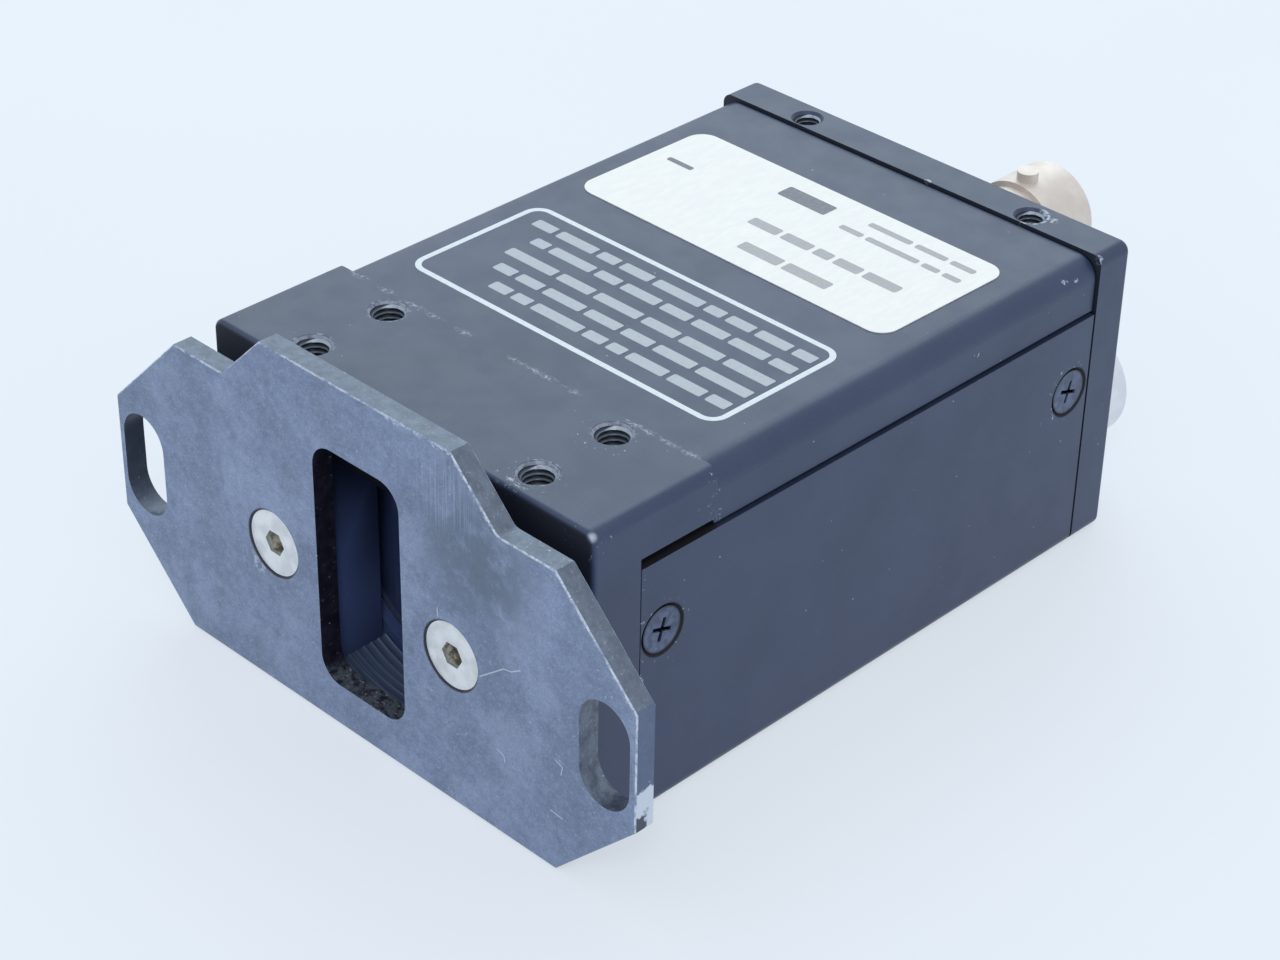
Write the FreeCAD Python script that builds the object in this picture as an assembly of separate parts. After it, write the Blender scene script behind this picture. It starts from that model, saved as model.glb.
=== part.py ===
import FreeCAD, Part
import math
import os

# Compact machine-vision camera with a slotted steel plate on its lens mount, in millimetres.
# +Y runs from the lens mount to the rear connectors, +Z is up, and the origin is the underside's middle.

Vector = FreeCAD.Vector
X_AXIS = Vector(1, 0, 0)
Y_AXIS = Vector(0, 1, 0)
Z_AXIS = Vector(0, 0, 1)
SIDES = (-1, 1)
TO_REAR = 1
TO_FRONT = -1
TOLERANCE = 1e-6

# Clearances
COVER_FIT = 0.05
TURNED_FIT = 0.05
THREAD_FIT = 0.03
SEAT_FIT = 0.03
HOLE_CLEARANCE = 0.1
BOARD_MARGIN = 0.3
OVERCUT = 1.0

# Housing box: front block, covers and rear panel
HOUSING_WIDTH = 44.0
HOUSING_DEPTH = 64.5
HOUSING_HEIGHT = 29.0
TOP_EDGE_RADIUS = 1.0
BOTTOM_EDGE_RADIUS = 1.0
END_EDGE_RADIUS = 0.5
BLOCK_DEPTH = 13.2
PANEL_DEPTH = 4.1
SIDE_WALL = 1.0
TOP_WALL = 1.5
COVER_INSET = 0.3
COVER_BEND_RADIUS = 2.0
FLANGE_DROP = 5.15
PARTING_GAP = 0.3
LOWER_COVER_SETBACK = 5.05
SIDE_RECESS_DROP = 4.45
FRONT_SEAM = 0.1
REAR_SEAM = 0.25

# Pads of the block and the rear panel that carry the upper cover, and their screws
PAD_SPACING = 29.0
PAD_WIDTH = 7.0
PAD_LENGTH = 3.4
PAD_THICKNESS = 2.4
SMALL_SCREW_RADIUS = 1.0
SMALL_HEAD_RADIUS = 1.7
SMALL_HEAD_HEIGHT = 1.2
CHASSIS_SCREW_BITE = 1.0
CROSS_RECESS_WIDTH = 0.5

# Tapped accessory holes in the top
ACCESSORY_SPACING_X = 26.0
ACCESSORY_SPACING_Y = 8.0
ACCESSORY_SETBACK = 3.0
ACCESSORY_RADIUS = 1.5
ACCESSORY_DEPTH = 4.5
ACCESSORY_CHAMFER = 0.25
PANEL_HOLE_RADIUS = 1.25
PANEL_HOLE_DEPTH = 3.5
PANEL_HOLE_SETBACK = 1.6

# Flat-head screws of the lower cover
SIDE_SCREW_HEIGHT = 16.85
SIDE_SCREW_SETBACK = 2.5
SIDE_SCREW_RADIUS = 1.25
SIDE_SCREW_LENGTH = 4.6
SIDE_HEAD_RADIUS = 2.05
SIDE_HEAD_LAND = 0.17
SIDE_SINK_RADIUS = 2.35
SIDE_RECESS_DEPTH = 0.6
SIDE_RECESS_RADIUS = 1.05
SIDE_RECESS_WIDTH = 0.36
SIDE_RECESS_TURN = -18
LUG_LENGTH = 5.6
LUG_THICKNESS = 3.6
LUG_HEIGHT = 3.8

# Lens mount
MOUNT_RISE = 2.0
MOUNT_FLANGE_RADIUS = 13.4
MOUNT_THREAD_RADIUS = 12.7
MOUNT_THREAD_DEPTH = 5.9
MOUNT_LIP_RADIUS = 11.6
MOUNT_NECK_RADIUS = 13.2
MOUNT_NECK_LENGTH = 4.9
FLANGE_FOCAL = 17.526

# Slotted plug in the lens mount
PLUG_SLOT_WIDTH = 12.6
PLUG_SLOT_CROWN = 9.6
PLUG_SLOT_RADIUS = 3.0
PLUG_END_GAP = 0.4

# Adapter plate
PLATE_THICKNESS = 2.0
PLATE_LIFT = 0.1
EAR_SPAN = 61.3
EAR_DROP = 1.0
CORNER_CHAMFER = 8.5
CROWN_RISE = 5.0
CROWN_WIDTH = 22.0
CROWN_FOOT_RADIUS = 1.0
PLATE_EDGE_BREAK = 0.12
WINDOW_WIDTH = 10.1
WINDOW_HEIGHT = 22.6
WINDOW_RISE = 0.95
WINDOW_RADIUS = 2.2
SLOT_INSET = 3.3
SLOT_WIDTH = 5.3
SLOT_LENGTH = 9.7

# Countersunk socket screws of the plate
PLATE_SCREW_SPACING = 21.2
PLATE_SCREW_DROP = 0.25
PLATE_SCREW_RADIUS = 1.5
PLATE_SCREW_LENGTH = 5.6
PLATE_HEAD_RADIUS = 2.93
PLATE_SINK_RADIUS = 3.13
SOCKET_FLATS = 2.0
SOCKET_DEPTH = 1.1

# Filter glass and its seal
GLASS_RADIUS = 12.3
GLASS_THICKNESS = 1.0
GASKET_INNER_RADIUS = 11.4
GASKET_THICKNESS = 0.4
APERTURE_RADIUS = 8.5
WEB_THICKNESS = 1.7

# Image sensor and its board
SENSOR_POCKET_WIDTH = 29.0
SENSOR_POCKET_HEIGHT = 18.0
PACKAGE_WIDTH = 16.0
PACKAGE_HEIGHT = 12.0
PACKAGE_DEPTH = 2.6
PACKAGE_FLOOR = 1.2
CAVITY_WIDTH = 11.0
CAVITY_HEIGHT = 8.6
DIE_WIDTH = 8.8
DIE_HEIGHT = 6.8
DIE_THICKNESS = 0.5
LID_WIDTH = 14.0
LID_HEIGHT = 10.4
LID_THICKNESS = 0.7
POST_RADIUS = 2.1
POST_SPACING = 33.6
POST_EDGE = 2.2
BOARD_THICKNESS = 1.2

# Main boards
BOARD_OVERHANG = 1.7
BOARD_HOLE_INSET = 4.0
BOARD_DROP = 5.5
BOARD_SPACING = 13.6
BOSS_RADIUS = 2.3
STUD_LENGTH = 4.2
STANDOFF_FLATS = 4.0
POWER_SCREW_LENGTH = 3.6
CHIP_LAYOUT = ((0.0, 0.0, 12.0, 12.0, 1.6), (9.6, 0.0, 5.0, 10.0, 1.2), (0.0, -10.6, 7.0, 5.0, 1.2))
CRYSTAL_SIZE = (4.6, 11.0, 3.4)
CRYSTAL_PLACE = (-9.6, 0.0)
POWER_LAYOUT = ((0.0, -8.0, 7.0, 7.0, 3.6), (0.0, 8.0, 7.0, 7.0, 3.6), (9.6, 0.0, 4.0, 7.0, 2.8))
STACK_WIDTH = 3.6
STACK_LENGTH = 16.0
FLEX_WIDTH = 12.0
FLEX_THICKNESS = 0.2
FLEX_BEND = 2.2
FLEX_RUN = 2.4
FLEX_SOCKET_HEIGHT = 1.2
FLEX_SOCKET_LENGTH = 2.6

# Coaxial bayonet jack
JACK_INSET = 18.45
JACK_HEIGHT = 20.0
JACK_REACH = 14.0
JACK_SHELL_RADIUS = 4.7
JACK_SHELL_LENGTH = 6.0
JACK_NECK_RADIUS = 4.2
JACK_BORE_RADIUS = 4.05
JACK_BORE_DEPTH = 5.6
JACK_FLANGE_RADIUS = 5.6
JACK_FLANGE_THICKNESS = 1.6
JACK_TAIL_RADIUS = 3.4
JACK_TAIL_LENGTH = 2.4
JACK_LUG_RADIUS = 1.0
JACK_LUG_SETBACK = 4.5
JACK_LUG_REACH = 5.55
JACK_MOUTH_CHAMFER = 0.3
JACK_NUT_FLATS = 11.0
JACK_NUT_THICKNESS = 2.2
INSULATOR_RADIUS = 2.45
INSULATOR_SETBACK = 2.0
CONTACT_RADIUS = 1.0
CONTACT_HOLE_RADIUS = 0.5
CONTACT_HOLE_DEPTH = 4.0

# Round multi-pin connector
MULTIPIN_INSET = 8.45
MULTIPIN_REACH = 6.5
MULTIPIN_BARREL_RADIUS = 5.5
MULTIPIN_BARREL_WALL = 0.8
MULTIPIN_FLANGE_RADIUS = 6.2
MULTIPIN_FLANGE_THICKNESS = 1.2
MULTIPIN_NECK_RADIUS = 4.6
MULTIPIN_NECK_WALL = 0.7
MULTIPIN_NECK_TAIL = 2.8
MULTIPIN_NUT_RADIUS = 5.4
MULTIPIN_NUT_THICKNESS = 2.0
MULTIPIN_SHOULDER = 0.8
MULTIPIN_KEY_WIDTH = 1.2
MULTIPIN_KEY_HEIGHT = 0.5
INSERT_RIM = 1.0
PIN_RADIUS = 0.35
PIN_SETBACK = 1.5
OUTER_PIN_COUNT = 8
OUTER_PIN_RING = 2.75
INNER_PIN_COUNT = 4
INNER_PIN_RING = 1.25
CONNECTOR_BOARD_GAP = 0.6
CONNECTOR_BOARD_HEIGHT = 20.5
PIN_TAIL = 0.6

# Label on the top
LABEL_WIDTH = 35.9
LABEL_LENGTH = 15.9
LABEL_SETBACK = 37.4
LABEL_SHIFT = -0.3
LABEL_TURN = -0.65
LABEL_RADIUS = 1.8
LABEL_THICKNESS = 0.08

# Places that follow from the sizes above
FRONT = -HOUSING_DEPTH / 2
REAR = HOUSING_DEPTH / 2
HALF_WIDTH = HOUSING_WIDTH / 2
AXIS_HEIGHT = HOUSING_HEIGHT / 2
BLOCK_REAR = FRONT + BLOCK_DEPTH
PANEL_FRONT = REAR - PANEL_DEPTH
COVER_REAR = PANEL_FRONT - REAR_SEAM
LOWER_COVER_FRONT = FRONT + LOWER_COVER_SETBACK
FLANGE_BOTTOM = HOUSING_HEIGHT - FLANGE_DROP
PARTING_HEIGHT = FLANGE_BOTTOM - PARTING_GAP
SIDE_RECESS_TOP = HOUSING_HEIGHT - SIDE_RECESS_DROP
COVER_HALF = HALF_WIDTH - COVER_INSET
COVER_TOP = HOUSING_HEIGHT - COVER_INSET
CORE_HALF = HALF_WIDTH - SIDE_WALL - COVER_FIT
CORE_BOTTOM = SIDE_WALL + COVER_FIT
CEILING = COVER_TOP - TOP_WALL
PAD_TOP = CEILING - COVER_FIT
PAD_BOTTOM = PAD_TOP - PAD_THICKNESS
FRONT_PAD_REAR = BLOCK_REAR + PAD_LENGTH
REAR_PAD_FRONT = PANEL_FRONT - PAD_LENGTH
CHASSIS_SCREW_YS = (FRONT_PAD_REAR - PAD_LENGTH / 2, REAR_PAD_FRONT + PAD_LENGTH / 2)
CHASSIS_SCREW_X = PAD_SPACING / 2
SIDE_SCREW_YS = (LOWER_COVER_FRONT + SIDE_SCREW_SETBACK, COVER_REAR - SIDE_SCREW_SETBACK)
MOUNT_FACE = FRONT - MOUNT_RISE
THREAD_END = MOUNT_FACE + MOUNT_THREAD_DEPTH
NECK_END = FRONT + MOUNT_NECK_LENGTH
GLASS_FRONT = NECK_END + GASKET_THICKNESS
GLASS_SEAT = GLASS_FRONT + GLASS_THICKNESS
WEB_REAR = GLASS_SEAT + WEB_THICKNESS
PLATE_FRONT = MOUNT_FACE - PLATE_THICKNESS
EAR_TOP = HOUSING_HEIGHT - EAR_DROP
EAR_MIDDLE = (PLATE_LIFT + EAR_TOP) / 2
CROWN_TOP = EAR_TOP + CROWN_RISE
SLOT_SPACING = EAR_SPAN - 2 * SLOT_INSET
PLATE_SCREW_TIP = PLATE_FRONT + PLATE_SCREW_LENGTH
PLATE_SCREW_HEIGHT = AXIS_HEIGHT - PLATE_SCREW_DROP
SENSOR_PLANE = MOUNT_FACE + FLANGE_FOCAL
CAVITY_FLOOR = SENSOR_PLANE + DIE_THICKNESS
PACKAGE_REAR = CAVITY_FLOOR + PACKAGE_FLOOR
PACKAGE_FRONT = PACKAGE_REAR - PACKAGE_DEPTH
SENSOR_BOARD_REAR = PACKAGE_REAR + BOARD_THICKNESS
SENSOR_BOARD_HALF_HEIGHT = PAD_BOTTOM - SMALL_HEAD_HEIGHT - BOARD_MARGIN - AXIS_HEIGHT
SENSOR_BOARD_HALF_WIDTH = POST_SPACING / 2 + POST_EDGE
POST_PLACES = [(sx * POST_SPACING / 2, AXIS_HEIGHT + sz * (SENSOR_BOARD_HALF_HEIGHT - POST_EDGE))
               for sx in SIDES for sz in SIDES]
LUG_FRONT = PANEL_FRONT - LUG_LENGTH
LUG_INNER = CORE_HALF - LUG_THICKNESS
JACK_X = HALF_WIDTH - JACK_INSET
MULTIPIN_X = HALF_WIDTH - MULTIPIN_INSET
MULTIPIN_HEIGHT = SIDE_SCREW_HEIGHT - LUG_HEIGHT / 2 - BOARD_MARGIN - MULTIPIN_NUT_RADIUS
MULTIPIN_BORE = MULTIPIN_NECK_RADIUS - MULTIPIN_NECK_WALL
MULTIPIN_NECK_FRONT = PANEL_FRONT - MULTIPIN_NECK_TAIL
INSERT_SEAT = REAR + MULTIPIN_SHOULDER
INSERT_FACE = INSERT_SEAT + INSERT_RIM
PIN_PLACES = [(MULTIPIN_X + radius * math.cos(2 * math.pi * i / count),
               MULTIPIN_HEIGHT + radius * math.sin(2 * math.pi * i / count))
              for count, radius in ((OUTER_PIN_COUNT, OUTER_PIN_RING), (INNER_PIN_COUNT, INNER_PIN_RING))
              for i in range(count)]
JACK_TAIL_FRONT = PANEL_FRONT - JACK_FLANGE_THICKNESS - JACK_TAIL_LENGTH
JACK_MOUTH = REAR + JACK_REACH
CONNECTOR_BOARD_REAR = min(JACK_TAIL_FRONT, MULTIPIN_NECK_FRONT) - CONNECTOR_BOARD_GAP
CONNECTOR_BOARD_FRONT = CONNECTOR_BOARD_REAR - BOARD_THICKNESS
PIN_FRONT = CONNECTOR_BOARD_FRONT - PIN_TAIL
BOARD_WIDTH = POST_SPACING + 2 * BOARD_OVERHANG
BOARD_FRONT = SENSOR_BOARD_REAR + SMALL_HEAD_HEIGHT + BOARD_MARGIN
BOARD_REAR = PIN_FRONT - BOARD_MARGIN
BOARD_MIDDLE = (BOARD_FRONT + BOARD_REAR) / 2
VIDEO_TOP = CEILING - BOARD_DROP
VIDEO_BOTTOM = VIDEO_TOP - BOARD_THICKNESS
POWER_TOP = VIDEO_BOTTOM - BOARD_SPACING
POWER_BOTTOM = POWER_TOP - BOARD_THICKNESS
BOSS_PLACES = [(sx * (BOARD_WIDTH / 2 - BOARD_HOLE_INSET), y)
               for sx in SIDES for y in (BOARD_FRONT + BOARD_HOLE_INSET, BOARD_REAR - BOARD_HOLE_INSET)]


def box(x0, x1, y0, y1, z0, z1):
    """Block between two opposite corners."""
    return Part.makeBox(x1 - x0, y1 - y0, z1 - z0, Vector(x0, y0, z0))


def centred_box(x, z, width, height, y0, y1):
    """Block centred on (x, z) that runs from y0 to y1."""
    return box(x - width / 2, x + width / 2, y0, y1, z - height / 2, z + height / 2)


def rod_x(radius, x0, x1, y, z):
    """Round bar along X."""
    return Part.makeCylinder(radius, x1 - x0, Vector(x0, y, z), X_AXIS)


def rod_y(radius, y0, y1, x, z):
    """Round bar along Y."""
    return Part.makeCylinder(radius, y1 - y0, Vector(x, y0, z), Y_AXIS)


def rod_z(radius, z0, z1, x, y):
    """Round bar along Z."""
    return Part.makeCylinder(radius, z1 - z0, Vector(x, y, z0), Z_AXIS)


def tube_y(outer, inner, y0, y1, x, z):
    """Round tube along Y."""
    return rod_y(outer, y0, y1, x, z).cut(rod_y(inner, y0 - OVERCUT, y1 + OVERCUT, x, z))


def rounded_wire(corners, place):
    """Closed wire through corners (a, b, radius), each corner turned with a tangent arc of its radius."""
    count = len(corners)
    joints = []
    for i in range(count):
        a, b, radius = corners[i]
        corner = place(a, b)
        if radius < TOLERANCE:
            joints.append((corner, None, corner))
            continue
        before = place(*corners[i - 1][:2]).sub(corner).normalize()
        after = place(*corners[(i + 1) % count][:2]).sub(corner).normalize()
        half_angle = before.getAngle(after) / 2
        reach = radius / math.tan(half_angle)
        inward = before.add(after).normalize()
        middle = corner.add(inward.multiply(radius / math.sin(half_angle) - radius))
        joints.append((corner.add(before.multiply(reach)), middle, corner.add(after.multiply(reach))))
    edges = []
    for i in range(count):
        start, middle, end = joints[i]
        if middle is not None:
            edges.append(Part.Arc(start, middle, end).toShape())
        following = joints[(i + 1) % count][0]
        if end.distanceToPoint(following) > TOLERANCE:
            edges.append(Part.LineSegment(end, following).toShape())
    return Part.Wire(edges)


def prism_y(corners, y0, y1):
    """Outline of (x, z, radius) corners carried along Y."""
    wire = rounded_wire(corners, lambda x, z: Vector(x, y0, z))
    return Part.Face(wire).extrude(Vector(0, y1 - y0, 0))


def prism_z(corners, z0, z1):
    """Outline of (x, y, radius) corners carried along Z."""
    wire = rounded_wire(corners, lambda x, y: Vector(x, y, z0))
    return Part.Face(wire).extrude(Vector(0, 0, z1 - z0))


def prism_x(corners, x0, x1):
    """Outline of (y, z, radius) corners carried along X."""
    wire = rounded_wire(corners, lambda y, z: Vector(x0, y, z))
    return Part.Face(wire).extrude(Vector(x1 - x0, 0, 0))


def rectangle(a, b, width, height, radius):
    """Corners of a rectangle centred on (a, b)."""
    return [(a - width / 2, b - height / 2, radius), (a + width / 2, b - height / 2, radius),
            (a + width / 2, b + height / 2, radius), (a - width / 2, b + height / 2, radius)]


def hexagon(a, b, flats):
    """Corners of a hexagon of a width across flats, with two flats level."""
    reach = flats / math.sqrt(3)
    angles = [math.pi * i / 3 for i in range(6)]
    return [(a + reach * math.cos(t), b + reach * math.sin(t), 0) for t in angles]


def edges_at_y(shape, y):
    """Edges that lie wholly in the plane of one y."""
    return [edge for edge in shape.Edges if all(abs(v.Y - y) < TOLERANCE for v in edge.Vertexes)]


def housing_section():
    """Outline of the front block and the rear panel in XZ, standing on the underside."""
    return [(-HALF_WIDTH, 0, BOTTOM_EDGE_RADIUS), (HALF_WIDTH, 0, BOTTOM_EDGE_RADIUS),
            (HALF_WIDTH, HOUSING_HEIGHT, TOP_EDGE_RADIUS), (-HALF_WIDTH, HOUSING_HEIGHT, TOP_EDGE_RADIUS)]


def pan_screw_z(x, y, seat, length, up):
    """Small pan-head screw with a cross recess, from the height under its head, pointing up or down."""
    tip = seat + up * length
    crown = seat - up * SMALL_HEAD_HEIGHT
    recess_floor = seat - up * SMALL_HEAD_HEIGHT / 2
    shank = rod_z(SMALL_SCREW_RADIUS, min(seat, tip), max(seat, tip), x, y)
    head = rod_z(SMALL_HEAD_RADIUS, min(seat, crown), max(seat, crown), x, y)
    low, high = sorted((crown - up * OVERCUT, recess_floor))
    arm = SMALL_HEAD_RADIUS * 0.7
    half = CROSS_RECESS_WIDTH / 2
    cross = box(x - arm, x + arm, y - half, y + half, low, high)
    cross = cross.fuse(box(x - half, x + half, y - arm, y + arm, low, high))
    return shank.fuse(head).cut(cross).removeSplitter()


def carrying_pads(y0, y1):
    """Two pads below the upper cover, with clearance holes for the chassis screws."""
    pads = []
    for side in SIDES:
        x = side * CHASSIS_SCREW_X
        pad = box(x - PAD_WIDTH / 2, x + PAD_WIDTH / 2, y0, y1, PAD_BOTTOM, PAD_TOP)
        hole_radius = SMALL_SCREW_RADIUS + HOLE_CLEARANCE
        pads.append(pad.cut(rod_z(hole_radius, PAD_BOTTOM - OVERCUT, PAD_TOP + OVERCUT, x, (y0 + y1) / 2)))
    return pads


def tapped_hole_z(radius, depth, top, x, y):
    """Blind hole down from a top face, with a chamfered mouth."""
    hole = rod_z(radius, top - depth, top + OVERCUT, x, y)
    mouth = Part.makeCone(radius, radius + ACCESSORY_CHAMFER, ACCESSORY_CHAMFER,
                          Vector(x, y, top - ACCESSORY_CHAMFER), Z_AXIS)
    return hole.fuse(mouth)


def side_tapped_holes(y, depth):
    """Screw holes in from both sides of the core, with sunk mouths for the screw heads."""
    holes = []
    sink = SIDE_SINK_RADIUS - SIDE_WALL - SIDE_SCREW_RADIUS
    for side in SIDES:
        radius = SIDE_SCREW_RADIUS + THREAD_FIT
        start = Vector(side * (CORE_HALF + OVERCUT), y, SIDE_SCREW_HEIGHT)
        holes.append(Part.makeCylinder(radius, depth + OVERCUT, start, Vector(-side, 0, 0)))
        mouth = Vector(side * CORE_HALF, y, SIDE_SCREW_HEIGHT)
        holes.append(Part.makeCone(radius + sink, radius, sink, mouth, Vector(-side, 0, 0)))
    return holes


def make_adapter_plate():
    """Flat plate with chamfered ears, a crown, a window, two slots and two countersunk holes."""
    half_span = EAR_SPAN / 2
    half_crown = CROWN_WIDTH / 2
    right = [(half_span - CORNER_CHAMFER, PLATE_LIFT, 0), (half_span, PLATE_LIFT + CORNER_CHAMFER, 0),
             (half_span, EAR_TOP - CORNER_CHAMFER, 0), (half_span - CORNER_CHAMFER, EAR_TOP, 0),
             (half_crown + CROWN_RISE, EAR_TOP, CROWN_FOOT_RADIUS), (half_crown, CROWN_TOP, 0)]
    left = [(-x, z, radius) for x, z, radius in reversed(right)]
    plate = prism_y(right + left, PLATE_FRONT, MOUNT_FACE)
    rims = edges_at_y(plate, PLATE_FRONT) + edges_at_y(plate, MOUNT_FACE)
    plate = plate.makeChamfer(PLATE_EDGE_BREAK, rims)
    window = rectangle(0, AXIS_HEIGHT + WINDOW_RISE, WINDOW_WIDTH, WINDOW_HEIGHT, WINDOW_RADIUS)
    cuts = [prism_y(window, PLATE_FRONT - OVERCUT, MOUNT_FACE + OVERCUT)]
    for side in SIDES:
        slot = rectangle(side * SLOT_SPACING / 2, EAR_MIDDLE, SLOT_WIDTH, SLOT_LENGTH, SLOT_WIDTH / 2)
        cuts.append(prism_y(slot, PLATE_FRONT - OVERCUT, MOUNT_FACE + OVERCUT))
        x = side * PLATE_SCREW_SPACING / 2
        hole_radius = PLATE_SCREW_RADIUS + HOLE_CLEARANCE
        cuts.append(rod_y(hole_radius, PLATE_FRONT - OVERCUT, MOUNT_FACE + OVERCUT, x, PLATE_SCREW_HEIGHT))
        cuts.append(Part.makeCone(PLATE_SINK_RADIUS, hole_radius, PLATE_SINK_RADIUS - hole_radius,
                                  Vector(x, PLATE_FRONT, PLATE_SCREW_HEIGHT), Y_AXIS))
    return plate.cut(cuts)


def make_plate_screws():
    """Two countersunk screws with hex sockets, their heads seated in the plate's countersinks."""
    screws = []
    crown = PLATE_FRONT + PLATE_SINK_RADIUS - PLATE_HEAD_RADIUS - SEAT_FIT
    cone = PLATE_HEAD_RADIUS - PLATE_SCREW_RADIUS
    for side in SIDES:
        x, z = side * PLATE_SCREW_SPACING / 2, PLATE_SCREW_HEIGHT
        head = Part.makeCone(PLATE_HEAD_RADIUS, PLATE_SCREW_RADIUS, cone, Vector(x, crown, z), Y_AXIS)
        shank = rod_y(PLATE_SCREW_RADIUS, crown + cone, PLATE_SCREW_TIP, x, z)
        socket = prism_y(hexagon(x, z, SOCKET_FLATS), crown - OVERCUT, crown + SOCKET_DEPTH)
        screws.append(head.fuse(shank).cut(socket).removeSplitter())
    return Part.makeCompound(screws)


def make_mount_plug():
    """Round plug in the lens mount, slotted from below for the light path, with two screw holes."""
    radius = MOUNT_THREAD_RADIUS - TURNED_FIT
    rear = THREAD_END - PLUG_END_GAP
    plug = rod_y(radius, MOUNT_FACE, rear, 0, AXIS_HEIGHT)
    slot_top = AXIS_HEIGHT + PLUG_SLOT_CROWN
    slot_bottom = AXIS_HEIGHT - radius - OVERCUT
    half = PLUG_SLOT_WIDTH / 2
    slot = [(-half, slot_bottom, 0), (half, slot_bottom, 0), (half, slot_top, PLUG_SLOT_RADIUS),
            (-half, slot_top, PLUG_SLOT_RADIUS)]
    cuts = [prism_y(slot, MOUNT_FACE - OVERCUT, rear + OVERCUT)]
    for side in SIDES:
        cuts.append(rod_y(PLATE_SCREW_RADIUS + THREAD_FIT, MOUNT_FACE - OVERCUT, rear + OVERCUT,
                          side * PLATE_SCREW_SPACING / 2, PLATE_SCREW_HEIGHT))
    return plug.cut(cuts)


def make_lens_mount_ring():
    """Raised ring with the lens thread's bore, an inner lip and a neck that sits in the front block."""
    ring = rod_y(MOUNT_FLANGE_RADIUS, MOUNT_FACE, FRONT, 0, AXIS_HEIGHT)
    ring = ring.fuse(rod_y(MOUNT_NECK_RADIUS, FRONT, NECK_END, 0, AXIS_HEIGHT))
    bore = rod_y(MOUNT_THREAD_RADIUS, MOUNT_FACE - OVERCUT, THREAD_END, 0, AXIS_HEIGHT)
    lip = rod_y(MOUNT_LIP_RADIUS, MOUNT_FACE, NECK_END + OVERCUT, 0, AXIS_HEIGHT)
    return ring.cut([bore, lip]).removeSplitter()


def make_filter_gasket():
    """Flat rubber ring between the mount ring and the filter glass."""
    return tube_y(GLASS_RADIUS, GASKET_INNER_RADIUS, NECK_END, GLASS_FRONT, 0, AXIS_HEIGHT)


def make_filter_glass():
    """Round glass that closes the lens port."""
    return rod_y(GLASS_RADIUS, GLASS_FRONT, GLASS_SEAT, 0, AXIS_HEIGHT)


def make_front_block():
    """Solid front end: bores for ring, glass and light, pocket and posts for the sensor, tapped holes."""
    block = prism_y(housing_section(), FRONT, BLOCK_REAR)
    block = block.makeFillet(END_EDGE_RADIUS, edges_at_y(block, FRONT))
    past_side, past_rear = HALF_WIDTH + OVERCUT, BLOCK_REAR + OVERCUT
    cuts = [box(-past_side, past_side, LOWER_COVER_FRONT, past_rear, -OVERCUT, CORE_BOTTOM),
            box(-past_side, -CORE_HALF, LOWER_COVER_FRONT, past_rear, -OVERCUT, SIDE_RECESS_TOP),
            box(CORE_HALF, past_side, LOWER_COVER_FRONT, past_rear, -OVERCUT, SIDE_RECESS_TOP),
            rod_y(MOUNT_NECK_RADIUS + TURNED_FIT, FRONT - OVERCUT, NECK_END, 0, AXIS_HEIGHT),
            rod_y(GLASS_RADIUS + TURNED_FIT, FRONT, GLASS_SEAT, 0, AXIS_HEIGHT),
            rod_y(APERTURE_RADIUS, FRONT, past_rear, 0, AXIS_HEIGHT),
            centred_box(0, AXIS_HEIGHT, SENSOR_POCKET_WIDTH, SENSOR_POCKET_HEIGHT, WEB_REAR, past_rear)]
    cuts += side_tapped_holes(SIDE_SCREW_YS[0], SIDE_SCREW_LENGTH)
    for side in SIDES:
        for y in (FRONT + ACCESSORY_SETBACK, FRONT + ACCESSORY_SETBACK + ACCESSORY_SPACING_Y):
            cuts.append(tapped_hole_z(ACCESSORY_RADIUS, ACCESSORY_DEPTH, HOUSING_HEIGHT,
                                      side * ACCESSORY_SPACING_X / 2, y))
    posts = [rod_y(POST_RADIUS, BLOCK_REAR, PACKAGE_REAR, x, z) for x, z in POST_PLACES]
    block = block.cut(cuts).fuse(posts + carrying_pads(BLOCK_REAR, FRONT_PAD_REAR))
    screw_holes = [rod_y(SMALL_SCREW_RADIUS + THREAD_FIT, PACKAGE_REAR - POWER_SCREW_LENGTH,
                         PACKAGE_REAR + OVERCUT, x, z) for x, z in POST_PLACES]
    return block.cut(screw_holes).removeSplitter()


def make_sensor_package():
    """Ceramic sensor package with an open cavity."""
    body = centred_box(0, AXIS_HEIGHT, PACKAGE_WIDTH, PACKAGE_HEIGHT, PACKAGE_FRONT, PACKAGE_REAR)
    cavity = centred_box(0, AXIS_HEIGHT, CAVITY_WIDTH, CAVITY_HEIGHT, PACKAGE_FRONT - OVERCUT, CAVITY_FLOOR)
    return body.cut(cavity)


def make_sensor_die():
    """Silicon chip whose front face is the image plane."""
    return centred_box(0, AXIS_HEIGHT, DIE_WIDTH, DIE_HEIGHT, SENSOR_PLANE, CAVITY_FLOOR)


def make_sensor_lid_glass():
    """Glass lid on the sensor package."""
    return centred_box(0, AXIS_HEIGHT, LID_WIDTH, LID_HEIGHT, PACKAGE_FRONT - LID_THICKNESS, PACKAGE_FRONT)


def make_sensor_board():
    """Board behind the sensor, with four screw holes."""
    board = centred_box(0, AXIS_HEIGHT, 2 * SENSOR_BOARD_HALF_WIDTH, 2 * SENSOR_BOARD_HALF_HEIGHT,
                        PACKAGE_REAR, SENSOR_BOARD_REAR)
    holes = [rod_y(SMALL_SCREW_RADIUS + HOLE_CLEARANCE, PACKAGE_REAR - OVERCUT,
                   SENSOR_BOARD_REAR + OVERCUT, x, z) for x, z in POST_PLACES]
    return board.cut(holes)


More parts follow.
